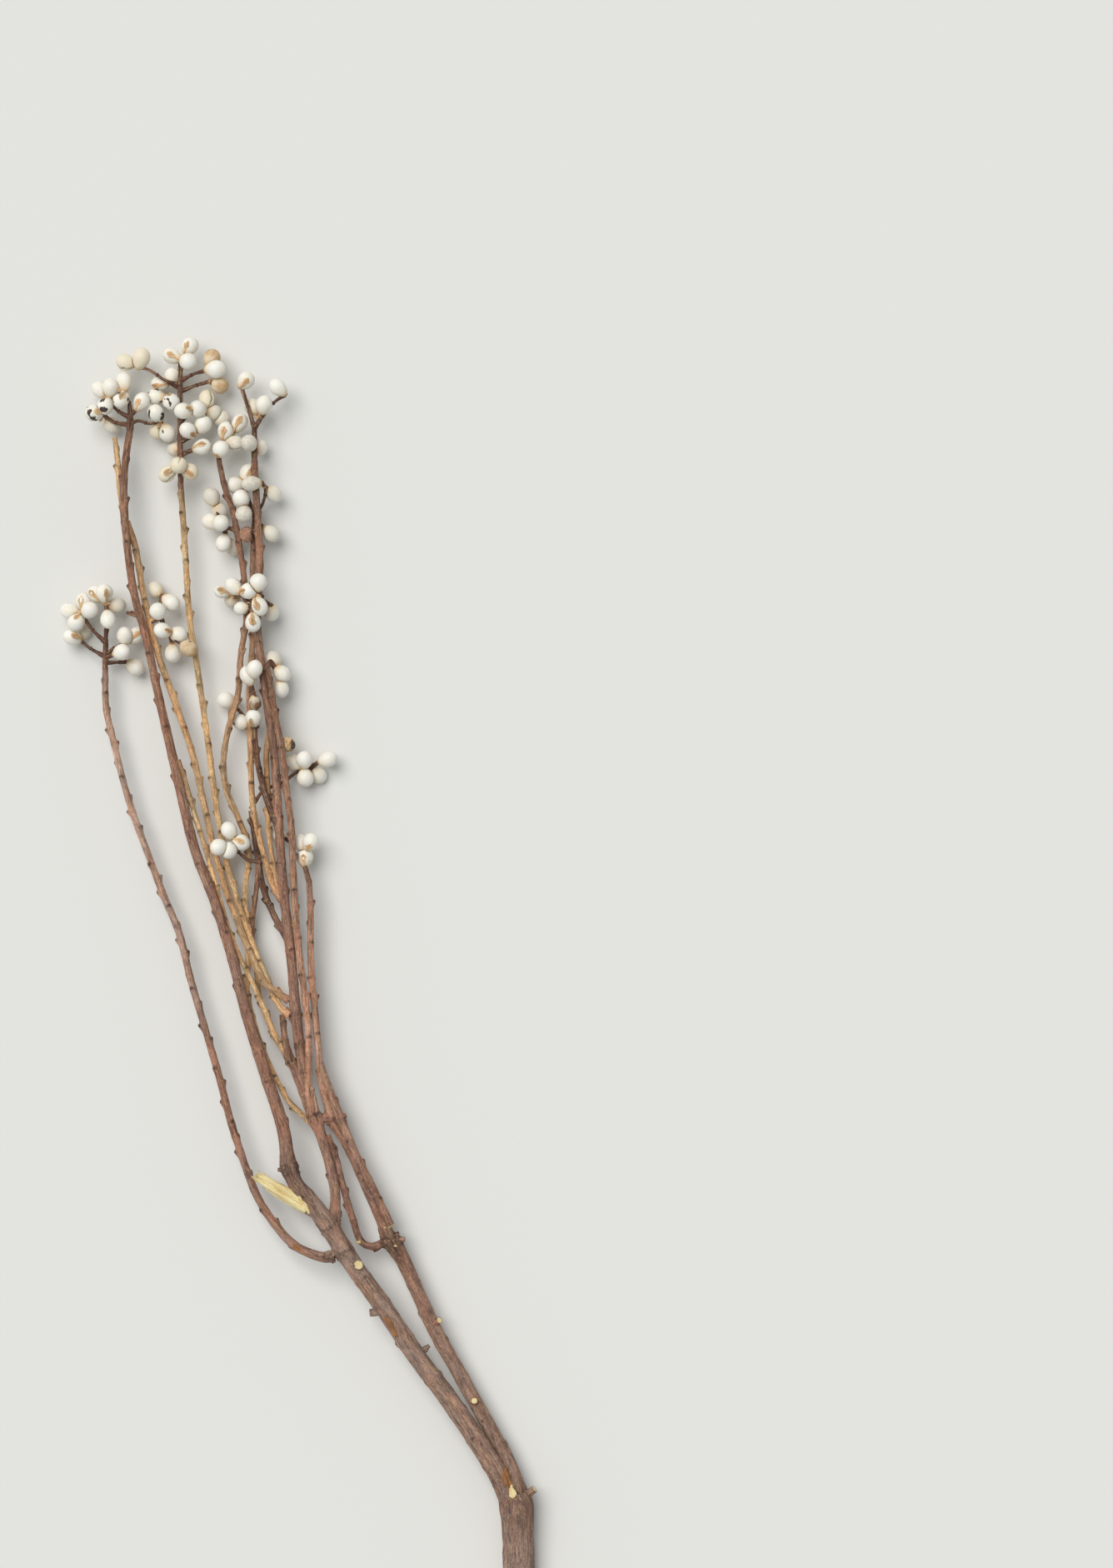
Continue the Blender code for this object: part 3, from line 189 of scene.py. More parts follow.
# Each spray: its dark rachis, then its fruits. A fruit is the stalk's route from the rachis, the centres
# of its seeds, each with its scale where that isn't 1, and a letter for how each seed looks: w white,
# c cream, t tan, g grey with painted shade for a seed underneath, m mottled, d chipped, b a brown capsule.
# A capital has a husk strip on its top.
SPRAYS = {
    "spray_01": {
        "rachis": [(-84.6, 156.4, 9.0, 1.3), (-84.4, 165.0, 9.4, 1.2), (-84.1, 173.0, 10.0, 0.9)],
        "fruits": [
            ([(-84.6, 161.6, 9.2), (-91.1, 165.2, 7.0), (-95.6, 168.8, 5.6)],
             [(-98.6, 169.8, 7.4), (-94.6, 172.8, 3.0)], "Wg"),
            ([(-84.5, 168.0, 9.6), (-89.6, 172.8, 9.8), (-94.6, 179.6, 10.2)],
             [(-99.6, 181.2, 9.0), (-96.6, 176.8, 11.4), (-93.8, 185.2, 9.4), (-91.2, 181.4, 13.4)],
             "wWWw"),
            ([(-84.1, 172.4, 10.0), (-83.2, 179.0, 11.4), (-84.2, 184.0, 11.6)],
             [(-88.4, 188.4, 9.2), (-84.4, 188.6, 13.4), (-79.9, 183.8, 8.8), (-82.8, 177.8, 15.6)],
             "WWgw"),
            ([(-84.5, 162.0, 9.3), (-80.6, 165.4, 10.0), (-75.6, 167.4, 9.6)],
             [(-75.9, 170.2, 11.6), (-71.6, 170.4, 8.6)], "wW"),
            ([(-84.5, 161.0, 9.2), (-80.6, 162.6, 11.0)], [(-77.4, 163.4, 13.6)], "w"),
            ([(-84.6, 159.0, 9.1), (-80.0, 159.2, 8.0), (-75.0, 159.4, 6.6)], [(-72.0, 157.4, 6.2)],
             "w")]},
    "spray_02": {
        "rachis": [(-62.0, 177.5, 12.2, 0.85), (-60.2, 178.4, 12.6, 0.8)],
        "fruits": [
            ([(-60.4, 178.4, 12.6), (-60.8, 184.6, 9.6), (-60.2, 188.0, 8.8)],
             [(-56.4, 185.2, 10.0), (-63.0, 190.6, 5.4)], "wg"),
            ([(-60.2, 178.4, 12.6), (-60.8, 179.6, 13.4)], [(-61.2, 180.8, 15.6)], "w"),
            ([(-60.2, 178.2, 12.6), (-58.4, 174.0, 12.6), (-56.4, 171.8, 12.4)],
             [(-59.0, 172.6, 14.8), (-53.2, 171.2, 11.4)], "Ww"),
            ([(-56.6, 172.0, 12.4), (-55.4, 167.4, 10.8)], [(-55.4, 163.4, 9.2)], "w"),
            ([(-56.4, 171.8, 12.4), (-52.8, 167.8, 13.0), (-50.8, 166.6, 14.0)],
             [(-48.2, 165.2, 15.0)], "t")]},
    "spray_03": {
        "rachis": [(-74.0, 256.6, 12.6, 1.5), (-73.5, 261.7, 12.7, 1.7), (-73.4, 266.5, 12.9, 1.1)],
        "fruits": [
            ([(-73.4, 262.0, 12.7), (-70.0, 263.4, 12.6), (-65.2, 262.2, 12.0), (-60.4, 263.6, 11.6)],
             [(-62.0, 266.2, 14.2), (-57.8, 258.6, 10.0), (-61.8, 259.9, 7.6)], "ddc"),
            ([(-73.5, 261.5, 12.7), (-80.3, 262.8, 12.2), (-85.6, 266.2, 12.0)],
             [(-88.6, 266.6, 13.2), (-81.8, 261.8, 7.4)], "Dg"),
            ([(-73.4, 264.6, 12.8), (-79.0, 267.8, 12.0), (-82.4, 272.6, 10.8)],
             [(-84.0, 269.8, 14.0), (-86.6, 276.8, 8.6), (-82.0, 277.4, 11.6)], "dww"),
            ([(-73.4, 266.0, 12.9), (-74.0, 271.4, 13.0), (-75.4, 275.6, 12.2)],
             [(-77.0, 272.6, 14.8), (-76.2, 280.2, 10.4)], "Dw"),
            ([(-73.4, 265.6, 12.9), (-70.6, 268.4, 13.0)], [(-68.8, 271.2, 13.2)], "W")]},
    "spray_04": {
        "rachis": [(-51.8, 234.6, 10.0, 1.3), (-51.9, 245.0, 10.6, 1.25), (-52.2, 256.0, 11.1, 1.2),
                   (-52.1, 266.0, 11.6, 1.15), (-52.0, 276.0, 12.1, 1.2), (-51.8, 285.5, 12.6, 0.9)],
        "fruits": [
            ([(-52.0, 278.6, 12.3), (-58.0, 280.6, 12.8), (-64.8, 285.0, 12.6), (-69.8, 286.6, 11.6)],
             [(-68.8, 289.8, 12.6, 1.1), (-75.4, 288.6, 10.4)], "cc"),
            ([(-52.0, 280.4, 12.4), (-46.4, 283.4, 12.4), (-41.4, 285.0, 12.0)],
             [(-38.6, 290.4, 10.2), (-37.0, 285.4, 13.4, 1.12)], "tw"),
            ([(-52.0, 276.0, 12.1), (-45.4, 278.6, 11.4), (-39.6, 280.4, 10.8)],
             [(-35.4, 279.0, 10.2)], "t"),
            ([(-51.8, 285.0, 12.6), (-51.6, 289.4, 12.6)],
             [(-55.2, 291.2, 11.6), (-48.0, 295.4, 11.4), (-48.6, 288.6, 16.0)], "WWw"),
            ([(-52.0, 277.4, 12.2), (-56.6, 280.0, 9.6)], [(-55.8, 282.6, 8.2), (-60.4, 279.8, 8.0)],
             "wW"),
            ([(-52.1, 269.6, 11.8), (-57.4, 273.6, 11.6)], [(-62.3, 273.8, 9.6), (-55.8, 271.6, 14.6)],
             "dD"),
            ([(-52.2, 262.6, 11.4), (-47.6, 266.4, 12.0), (-41.0, 268.0, 10.0)],
             [(-50.0, 267.4, 16.0), (-44.0, 268.4, 13.4), (-40.8, 272.6, 8.6), (-38.0, 267.2, 7.4),
              (-34.8, 265.0, 5.6)], "Wwcgg"),
            ([(-52.2, 254.2, 11.0), (-46.2, 257.2, 12.0)], [(-48.2, 258.8, 14.6), (-42.4, 261.4, 12.2)],
             "Ww"),
            ([(-52.0, 248.6, 10.8), (-46.0, 251.2, 11.0)], [(-42.8, 252.0, 11.8)], "W"),
            ([(-52.1, 251.0, 10.9), (-53.6, 251.4, 8.8)], [(-54.4, 251.6, 6.8)], "g"),
            ([(-51.9, 244.0, 10.5), (-52.4, 244.6, 13.6)],
             [(-57.0, 240.8, 13.0), (-52.3, 244.0, 16.6), (-48.0, 241.6, 13.2)], "CcC")]},
    "spray_05": {
        "rachis": [(-34.6, 242.6, 11.0, 1.2), (-35.5, 247.5, 10.8, 1.1), (-36.0, 252.0, 10.6, 0.8)],
        "fruits": [
            ([(-35.5, 247.0, 10.8), (-34.8, 249.0, 12.6)], [(-34.2, 250.6, 15.2)], "W"),
            ([(-35.7, 249.6, 10.7), (-33.4, 254.6, 10.4)], [(-32.4, 258.8, 10.8), (-28.4, 253.8, 12.4)],
             "Wm"),
            ([(-33.8, 254.0, 10.4), (-29.4, 257.6, 10.0)], [(-26.6, 262.2, 10.0)], "W")]},
    "spray_06": {
        "rachis": [(-19.8, 246.1, 12.2, 1.4), (-19.9, 254.0, 12.2, 1.3), (-19.8, 260.4, 12.2, 1.1)],
        "fruits": [
            ([(-19.9, 250.0, 12.2), (-21.0, 251.6, 14.0)], [(-21.8, 253.2, 16.8)], "m"),
            ([(-19.9, 249.6, 12.2), (-18.8, 250.8, 10.4)], [(-18.2, 252.0, 8.0)], "w"),
            ([(-19.8, 260.0, 12.2), (-22.6, 269.0, 12.4), (-25.6, 278.4, 12.4)],
             [(-23.8, 280.4, 12.6)], "W"),
            ([(-19.8, 260.0, 12.2), (-17.2, 264.8, 12.2)], [(-20.8, 269.4, 8.4), (-15.8, 269.8, 13.4)],
             "gw"),
            ([(-17.0, 265.2, 12.2), (-11.6, 271.2, 12.0), (-6.6, 274.6, 12.0)],
             [(-9.4, 277.4, 12.2)], "w")]},
    "spray_07": {
        "rachis": [(-30.5, 217.1, 9.6, 0.9), (-33.4, 217.2, 10.0, 0.8)],
        "fruits": [
            ([(-33.2, 217.2, 10.0), (-35.4, 222.0, 9.4), (-36.6, 226.6, 9.0)],
             [(-38.4, 230.4, 9.2), (-35.4, 225.2, 6.8)], "gw"),
            ([(-33.2, 217.2, 10.0), (-35.6, 218.6, 11.2)], [(-38.6, 219.8, 9.8), (-34.4, 219.0, 14.8)],
             "ww"),
            ([(-33.0, 217.0, 10.0), (-32.4, 213.6, 8.8)], [(-33.2, 211.0, 10.6), (-29.8, 209.4, 5.0)],
             "wg")]},
    "spray_08": {
        "rachis": [(-20.2, 218.6, 8.2, 1.15), (-19.8, 223.0, 8.2, 1.1)],
        "fruits": [
            ([(-19.9, 222.6, 8.2), (-16.4, 228.0, 9.8), (-15.0, 233.6, 13.6), (-16.6, 236.6, 16.2)],
             [(-20.6, 236.0, 18.4), (-12.0, 232.2, 9.6)], "mw"),
            ([(-20.0, 222.0, 8.2), (-23.2, 226.6, 9.6)], [(-25.4, 229.6, 12.8), (-24.2, 223.2, 14.4)],
             "wm"),
            ([(-19.9, 222.6, 8.2), (-22.8, 230.0, 7.0), (-25.4, 236.6, 6.8)],
             [(-28.2, 236.0, 7.2), (-23.4, 240.8, 6.4)], "wW"),
            ([(-20.1, 220.6, 8.2), (-16.4, 217.6, 7.2)], [(-13.0, 215.0, 8.6)], "g")]},
    "spray_09": {
        "rachis": [(-21.0, 182.5, 15.4, 0.8), (-21.6, 184.2, 16.0, 0.9)],
        "fruits": [
            ([(-21.6, 184.2, 15.6), (-25.4, 188.4, 14.0)], [(-28.6, 191.6, 13.4), (-22.4, 189.6, 17.8)],
             "wW"),
            ([(-25.2, 188.2, 14.0), (-28.4, 187.6, 10.6)],
             [(-29.6, 186.4, 6.2), (-33.8, 189.4, 11.0, 0.8)], "gW"),
            ([(-21.6, 184.2, 15.6), (-19.4, 187.6, 17.4)], [(-18.0, 193.0, 18.4), (-17.5, 183.4, 18.6)],
             "wW"),
            ([(-21.2, 183.2, 15.2), (-23.0, 182.8, 14.6)], [(-25.2, 182.4, 14.6, 0.8)], "w"),
            ([(-21.0, 182.6, 15.0), (-20.6, 179.6, 17.0)], [(-20.2, 176.4, 18.6)], "W"),
            ([(-21.4, 184.0, 15.6), (-16.0, 185.6, 15.8), (-12.6, 183.6, 12.4)], [(-12.8, 181.0, 9.2)],
             "w")]},
    "spray_10": {
        "rachis": [(-19.7, 127.6, 12.4, 1.1), (-19.6, 131.4, 12.0, 1.0)],
        "fruits": [
            ([(-19.6, 131.0, 12.0), (-19.8, 132.6, 13.2)], [(-20.0, 134.8, 15.4)], "W"),
            ([(-19.6, 131.2, 12.0), (-18.9, 131.6, 8.4), (-21.6, 132.0, 6.6)],
             [(-25.8, 133.4, 5.4)], "w"),
            ([(-21.6, 132.0, 6.6), (-26.4, 137.6, 5.6), (-29.2, 141.0, 5.6)],
             [(-32.2, 142.6, 5.8)], "w"),
            ([(-19.8, 132.8, 13.2), (-18.9, 138.0, 14.8), (-19.6, 145.0, 15.2), (-21.2, 149.8, 15.4)],
             [(-22.4, 153.0, 15.4), (-19.6, 155.6, 18.2), (-19.6, 141.8, 14.6, 0.75)], "wwb")]},
    "spray_11": {
        "rachis": [(-14.3, 157.6, 15.0, 1.1), (-13.0, 159.8, 14.0, 0.8)],
        "fruits": [
            ([(-13.2, 159.6, 14.2), (-11.0, 157.0, 12.0)], [(-11.8, 160.2, 9.0), (-8.4, 154.4, 10.4)],
             "gw"),
            ([(-11.2, 157.2, 12.0), (-9.2, 152.0, 10.4)], [(-8.8, 148.2, 9.0)], "w")]},
    "spray_12": {
        "rachis": [(-20.2, 73.2, 9.6, 0.9), (-23.0, 73.9, 10.4, 0.8), (-27.2, 77.5, 11.8, 0.7)],
        "fruits": [
            ([(-26.8, 77.2, 11.7), (-30.0, 79.4, 12.6)], [(-30.6, 78.2, 15.0), (-34.6, 79.4, 16.4)],
             "ww"),
            ([(-27.0, 77.4, 11.8), (-28.4, 82.6, 12.8)], [(-30.4, 86.2, 14.6), (-26.0, 81.6, 13.6)],
             "wW")]},
    "spray_13": {
        "rachis": [(-20.6, 97.8, 7.2, 0.9), (-17.0, 103.0, 6.6, 0.8), (-13.4, 105.2, 6.4, 0.8),
                   (-8.5, 107.0, 6.2, 0.8), (-4.8, 109.6, 6.2, 0.8), (-1.4, 112.4, 6.4, 0.7)],
        "fruits": [
            ([(-2.0, 112.0, 6.4), (1.6, 113.0, 6.2)],
             [(1.6, 116.8, 10.0), (-2.8, 115.6, 5.6), (1.8, 109.6, 7.6)], "wgw"),
            ([(1.0, 112.8, 6.2), (4.4, 113.2, 5.4)], [(7.0, 110.8, 3.2)], "w"),
            ([(3.6, 113.2, 5.6), (7.6, 116.2, 6.6)], [(11.2, 117.2, 7.6)], "w")]},
    "spray_14": {
        "rachis": [(3.5, 64.6, 11.5, 1.3), (2.4, 69.0, 11.2, 1.1), (1.2, 73.0, 10.6, 0.8)],
        "fruits": [
            ([(1.8, 71.0, 10.8), (1.6, 73.2, 9.6)], [(1.6, 74.6, 9.6)], "W"),
            ([(1.4, 72.6, 10.6), (1.8, 77.4, 10.4)], [(0.0, 80.8, 8.4), (4.2, 81.4, 12.4)], "wW"),
            ([(1.8, 77.0, 10.2), (-4.8, 81.6, 7.2), (-7.6, 83.6, 6.4)], [(-10.4, 85.0, 5.2)], "w")]},
}

# Letters of the seed kinds, with the colour that each starts from. The grey kind starts from darker wax as
# painted shade on seeds that lie underneath; the mottled kind shares it as real aged wax.
SEED_KINDS = {"w": "wax", "c": "cream", "t": "tan", "g": "aged_wax", "m": "aged_wax", "d": "wax",
              "b": "capsule"}
# Kinds with a crease down one side, and how high the noise has to be for a kind's wax to be worn off
CREASED = "cm"
WORN_FROM = {"d": 0.24, "t": 0.42}
BARELY_WORN_FROM = 0.8

# Spots where the bark is gone: the middle, half the length as a step, half the width, what shows.
BARK_TEARS = {
    "tear_knob": ((39.0, -126.6), (2.6, -4.6), 1.25, "torn"),
    "tear_fork": ((89.2, -193.0), (1.3, -3.3), 2.2, "torn"),
    "face_fork": ((91.3, -199.2), (1.3, -3.5), 1.7, "bare"),
    "tear_far_left": ((-0.8, -93.6), (2.0, -1.4), 0.8, "torn"),
    "crack_low": ((25.0, -91.2), (-1.7, -0.5), 0.6, "bare"),
    "crack_torn": ((37.2, -85.6), (1.5, -0.9), 0.9, "bare"),
    "face_small": ((41.0, -93.0), (0.7, -0.5), 0.6, "bare"),
    "split_tail": ((2.0, -74.6), (2.5, -4.4), 1.5, "bare"),
}
# How high the noise has to be for a pit of bark in such a spot
PITTED_FROM = {"torn": 0.2, "bare": 0.5}

# Rough knuckles: how far along the limb, their half length and how far their warts stand out.
KNUCKLES = {
    "branch_left": [(133.5, 2.0, 0.5), (146.5, 1.6, 0.5), (176.0, 2.0, 0.6)],
    "branch_right": [(26.0, 1.4, 0.4), (123.0, 1.2, 0.3), (127.5, 2.6, 0.7)],
    "stem_left": [(1.5, 2.2, 0.6)],
    "stem_middle": [(3.5, 1.6, 0.5), (49.5, 1.6, 0.5), (80.2, 1.3, 0.5), (93.7, 1.3, 0.4)],
    "knee_stub": [(20.5, 1.4, 0.5)],
    "twig_far_left": [(1.5, 1.8, 0.5)],
    "twig_reddish": [(2.5, 1.4, 0.5)],
    "twig_right_middle": [(1.5, 2.0, 0.5), (58.0, 1.6, 0.6)],
    "twig_right_torn": [(50.0, 1.6, 0.5)],
    "twig_right_low": [(1.0, 1.6, 0.4), (57.0, 1.2, 0.4)],
}
# The same for a worn stub, which has one in its middle
WORN_STUB = [(2.5, 1.8, 0.5)]

BARK_SEED = 11
SPRAY_SEED = 23

# Corners round a limb, a stalk, a ribbon of husk and the split stub, rings along them, and fine balls
LEAST_SIDES, MOST_SIDES = 12, 48
STALK_SIDES = 9
RIBBON_SIDES, STRIP_RINGS, FLAP_RINGS = 14, 28, 14
SPLIT_SIDES, SPLIT_RINGS = 56, 60
FINE_BALL = 4
# Steps in millimetres along a curve, along a limb near its scars, and round a limb
CURVE_STEP = 0.5
FINE_RING, FINE_REACH = 0.5, 2.2
CORNER_SPACING = 0.75

# Leaf scars in millimetres: how far each is felt, the gaps on dark twigs and on the trunk and the stubs,
# and how far the trunk's stand out
SCAR_REACH = 5.0
DARK_TWIG_SPACING, SPARSE_SPACING = 5.8, 60.0
TRUNK_SCAR_RISE = 0.5
DEEPEST_SHADE = 0.85
GOLDEN_TURN = math.radians(137.5)
# Millimetres: how far a fork swells its parent, and the darkened end of a long limb under its spray
FORK_REACH = 14.0
CROWN_LENGTH = 32.0
# How deep a rachis starts inside its limb, the shortest stalk with a collar, and how bumpy stalks are
RACHIS_DEPTH = 2.5
COLLARED_LENGTH = 5.0
STALK_BUMPS = 0.12

# Layers of the corners that the materials read: places in millimetres, tones and masks
BARK_LAYERS = {"bark_place": "float_vector", "bark_tone": "float_color"}
SEED_LAYERS = {"seed_place": "float_vector", "seed_tint": "float_color", "seed_wear": "float",
               "seed_foot": "float"}
# Sockets of the effect groups that don't take a plain value
SOCKET_KINDS = {"Place": "Vector", "Tone": "Color", "Tint": "Color", "Light": "Color", "Dark": "Color",
                "Color": "Color"}

# The view and the floor in metres, the lens in millimetres, and the light
VIEW_CENTRE = (0.1105, 0.1066)
VIEWED_LEVEL = 0.01
FLOOR_REACH = 6.0
SENSOR_WIDTH = 36.0
SUN_POWER = 2.25
SUN_SPREAD = math.radians(44.0)
SUN_WAY = (0.38, -0.44, -1.0)
SUN_TINT = (1.0, 0.985, 0.965)
ROOM_LIGHT = 0.4
ROOM_TINT = (0.93, 0.98, 1.0, 1.0)

# Rings past a limb's end: the step and the share of the radius, both counted in radii.
END_RINGS = {
    "plain": [],
    "round": [(0.45, 0.88), (0.8, 0.57), (0.96, 0.22)],
    "worn": [(0.2, 0.92), (0.34, 0.7), (0.3, 0.4), (0.36, 0.14)],
    "torn": [(0.1, 0.98), (0.15, 0.9), (-0.3, 0.6), (-0.5, 0.2)],
    "cut": [(0.0, 0.95), (0.06, 0.88), (0.06, 0.84), (0.0, 0.8), (0.02, 0.6), (0.02, 0.3), (0.0, 0.08)],
}


def tint(red, green, blue):
    """A screen colour from 0 to 255 as the light that Blender mixes."""
    def one(value):
        value /= 255.0
        return value / 12.92 if value <= 0.04045 else ((value + 0.055) / 1.055) ** 2.4
    return one(red), one(green), one(blue)


def colour(name, description, *rgb):
    """A colour setting, given as a screen colour from 0 to 255."""
    return FloatVectorProperty(name=name, description=description, subtype="COLOR", size=3,
                               min=0.0, max=1.0, default=tint(*rgb))


def length(name, description, default):
    """A length setting, in metres."""
    return FloatProperty(name=name, description=description, unit="LENGTH", default=default, min=0.0)


class TallowSizes(bpy.types.PropertyGroup):
    """Sizes of the scars, seeds, stalks and strips, and of the view."""
    seed_width: length("Seed width", "Thickness of a seed in its wax", 0.0069)
    seed_length: length("Seed length", "Length of a seed from its stalk to its tip", 0.0092)
    stalk_width: length("Stalk width", "Thickness of the thin stalks in a spray", 0.0014)
    scar_spacing: length("Scar spacing", "Distance between leaf scars on a twig", 0.0098)
    scar_rise: length("Scar rise", "How far a leaf scar stands out of a thin twig", 0.00092)
    strip_width: length("Husk strip width", "Width of the dry strip left on a seed", 0.0027)
    strip_thickness: length("Husk thickness", "Thickness of the dry husk", 0.00045)
    camera_height: length("Camera height", "Height of the lens above the floor", 2.2)
    frame_height: length("Frame height", "Length of the stem plane that the view takes in", 0.6775)
    smoothness: IntProperty(name="Seed smoothness", description="Times that a plain seed is subdivided",
                            default=3, min=2, max=4)


class TallowColours(bpy.types.PropertyGroup):
    """Colours that the bark, the seeds, the husks and the floor start from."""
    grey: colour("Old bark", "Bark of the trunk and the two branches", 147, 120, 106)
    red: colour("Reddish bark", "Bark of the lower stems", 147, 109, 92)
    brown: colour("Brown bark", "Bark of the upper stems", 144, 108, 88)
    pink: colour("Pink bark", "Bark of the thin pale twigs", 184, 141, 117)
    ash: colour("Ashen bark", "Bark of the palest twig", 188, 157, 139)
    ochre: colour("Ochre bark", "Bark of the yellowish brown twigs", 200, 160, 116)
    straw: colour("Straw bark", "Bark of the yellow twigs", 210, 175, 128)
    dark: colour("Dark bark", "Bark of the spray stalks", 98, 67, 53)
    fissure: colour("Fissures", "Furrows and scars of the bark", 48, 32, 28)
    wood: colour("Cut wood", "Fresh wood where a shoot was cut or split", 250, 240, 190)
    heart: colour("Heartwood", "Middle and rim of the cut wood", 222, 190, 124)
    torn: colour("Torn bark", "Inner bark where it was torn", 190, 126, 60)
    wax: colour("Seed wax", "Wax of the fresh seeds", 243, 240, 231)
    # Painted shade for the grey seeds that lie underneath, and the real colour of the aged, mottled seeds
    aged_wax: colour("Aged and shaded wax", "Wax of the seeds underneath", 222, 217, 204)
    cream: colour("Cream wax", "Wax of the yellowed seeds", 236, 225, 200)
    tan: colour("Tan wax", "Wax of the browned seeds", 198, 162, 116)
    husk: colour("Husk", "Dry strips and crowns between the seeds", 212, 180, 136)
    husk_dark: colour("Husk edge", "Worn edges of the husk", 152, 106, 66)
    capsule: colour("Old fruit", "Shrivelled fruits", 128, 94, 68)
    kernel: colour("Kernel", "Dark seed coat where the wax has chipped", 58, 52, 46)
    floor: colour("Floor", "The pale surface", 228, 227, 223)


def sizes():
    return bpy.context.scene.tallow_sizes


def colours():
    return bpy.context.scene.tallow_colours


def paint(name):
    """One of the colours, with nothing see-through."""
    return (*getattr(colours(), name), 1.0)


def in_mm(value):
    return value / MM


class Route:
    """A smooth curve through a limb's points, read by its length from the start, in millimetres."""

    def __init__(self, points):
        knots = [Vector(p[:3]) for p in points]
        radii = [p[3] for p in points]
        ends = [2 * knots[0] - knots[1], 2 * knots[-1] - knots[-2]]
        padded = [ends[0]] + knots + [ends[1]]
        self.points, self.radii = [], []
        for k in range(len(knots) - 1):
            a, b, c, d = padded[k:k + 4]
            count = max(2, round((c - b).length / CURVE_STEP))
            for n in range(count):
                t = n / count
                self.points.append(0.5 * (2 * b + (c - a) * t + (2 * a - 5 * b + 4 * c - d) * t ** 2
                                          + (3 * b - a - 3 * c + d) * t ** 3))
                self.radii.append(radii[k] + (radii[k + 1] - radii[k]) * t)
        self.points.append(knots[-1])
        self.radii.append(radii[-1])
        self.lengths = [0.0]
        for low, high in zip(self.points, self.points[1:]):
            self.lengths.append(self.lengths[-1] + (high - low).length)
        self.length = self.lengths[-1]
        self.turns = self.carry_frame()

    def carry_frame(self):
        """Turns at each sample whose Z runs along the curve, with no twist between them."""
        ways = [(b - a).normalized() for a, b in zip(self.points, self.points[1:])]
        ways.append(ways[-1])
        level = UP if abs(ways[0].z) < 0.9 else Vector((0.0, 1.0, 0.0))
        side = ways[0].cross(level).normalized()
        turn = Matrix((side, side.cross(ways[0]), ways[0])).transposed().to_quaternion()
        turns = [turn]
        for low, high in zip(ways, ways[1:]):
            turn = low.rotation_difference(high) @ turn
            turns.append(turn)
        return turns

    def at(self, distance):
        """The point, radius and turn at a distance along the curve."""
        distance = min(max(distance, 0.0), self.length)
        low = min(bisect_right(self.lengths, distance) - 1, len(self.lengths) - 2)
        high = low + 1
        span = self.lengths[high] - self.lengths[low]
        t = (distance - self.lengths[low]) / span if span else 0.0
        return (self.points[low].lerp(self.points[high], t),
                self.radii[low] + (self.radii[high] - self.radii[low]) * t,
                self.turns[low].slerp(self.turns[high], t))


def bell(value, width):
    return math.exp(-(value / width) ** 2)


def smooth(value, low, high):
    """0 below low, 1 above high, and a soft rise between them."""
    t = min(max((value - low) / (high - low), 0.0), 1.0)
    return t * t * (3.0 - 2.0 * t)


def wrap(angle):
    return (angle + math.pi) % (2.0 * math.pi) - math.pi


def mix(first, second, share):
    return tuple(a + (b - a) * share for a, b in zip(first, second))


def around(angle, wide=1.0, z=0.0):
    """A place at an angle round the Z axis."""
    return Vector((math.cos(angle) * wide, math.sin(angle) * wide, z))


def slide(rng, far=900.0):
    """A random shift along Z, so that no two limbs share their grain."""
    return Vector((0.0, 0.0, rng.uniform(-far, far)))


def stray(rng, far):
    """A random shift in all three directions."""
    return Vector([rng.uniform(-far, far) for _ in range(3)])


def loft(bm, sides, count, settle):
    """Draws one ring of corners through a count of rings and closes its ends; settle gives each corner
    its place from its angle and its ring's number."""
    turn = bm.verts.layers.float.get("turn") or bm.verts.layers.float.new("turn")
    verts = bmesh.ops.create_circle(bm, segments=sides, radius=1.0)["verts"]
    for k, vert in enumerate(verts):
        vert[turn] = 2.0 * math.pi * k / sides
    first = edges = list({edge for vert in verts for edge in vert.link_edges})
    for number in range(count):
        if number:
            grown = bmesh.ops.extrude_edge_only(bm, edges=edges)["geom"]
            verts = [g for g in grown if isinstance(g, bmesh.types.BMVert)]
            fresh = set(verts)
            edges = [g for g in grown if isinstance(g, bmesh.types.BMEdge) and set(g.verts) <= fresh]
        for vert in verts:
            settle(vert, vert[turn], number)
    for ring in (first, edges):
        bmesh.ops.contextual_create(bm, geom=ring)


def new_piece(name, bm, materials, replaced=(), sharp=50.0):
    """Makes a finished piece of the bmesh: faces out, in metres, at the origin, riding on the stem."""
    bmesh.ops.recalc_face_normals(bm, faces=bm.faces[:])
    bmesh.ops.scale(bm, vec=(MM, MM, MM), verts=bm.verts[:])
    mesh = bpy.data.meshes.new(name)
    bm.to_mesh(mesh)
    bm.free()
    for material in materials:
        mesh.materials.append(material)
    mesh.shade_smooth()
    mesh.set_sharp_from_angle(angle=math.radians(sharp))
    piece = bpy.data.objects.new(name, mesh)
    bpy.context.scene.collection.objects.link(piece)
    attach(piece, "root")
    if replaced:
        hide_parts(*replaced)
    return piece


def gather(whole, bm):
    """Adds a finished bmesh to the whole piece."""
    mesh = bpy.data.meshes.new("gathered")
    bm.to_mesh(mesh)
    bm.free()
    whole.from_mesh(mesh)
    bpy.data.meshes.remove(mesh)


def layers_of(bm, kinds):
    """The layers of the corners that a material reads, made where they are missing."""
    held = {name: getattr(bm.verts.layers, kind) for name, kind in kinds.items()}
    for name, layers in held.items():
        if layers.get(name) is None:
            layers.new(name)
    return [layers[name] for name, layers in held.items()]


def ball(bm, fine):
    """The corners of a new ball of radius 1, each with its place on it."""
    corners = bmesh.ops.create_icosphere(bm, subdivisions=fine, radius=1.0)["verts"]
    return [(vert, vert.co.copy()) for vert in corners]


def second_material(verts):
    """Gives the piece's second material to the faces whose corners are all among these."""
    for face in {face for vert in verts for face in vert.link_faces}:
        if verts.issuperset(face.verts):
            face.material_index = 1


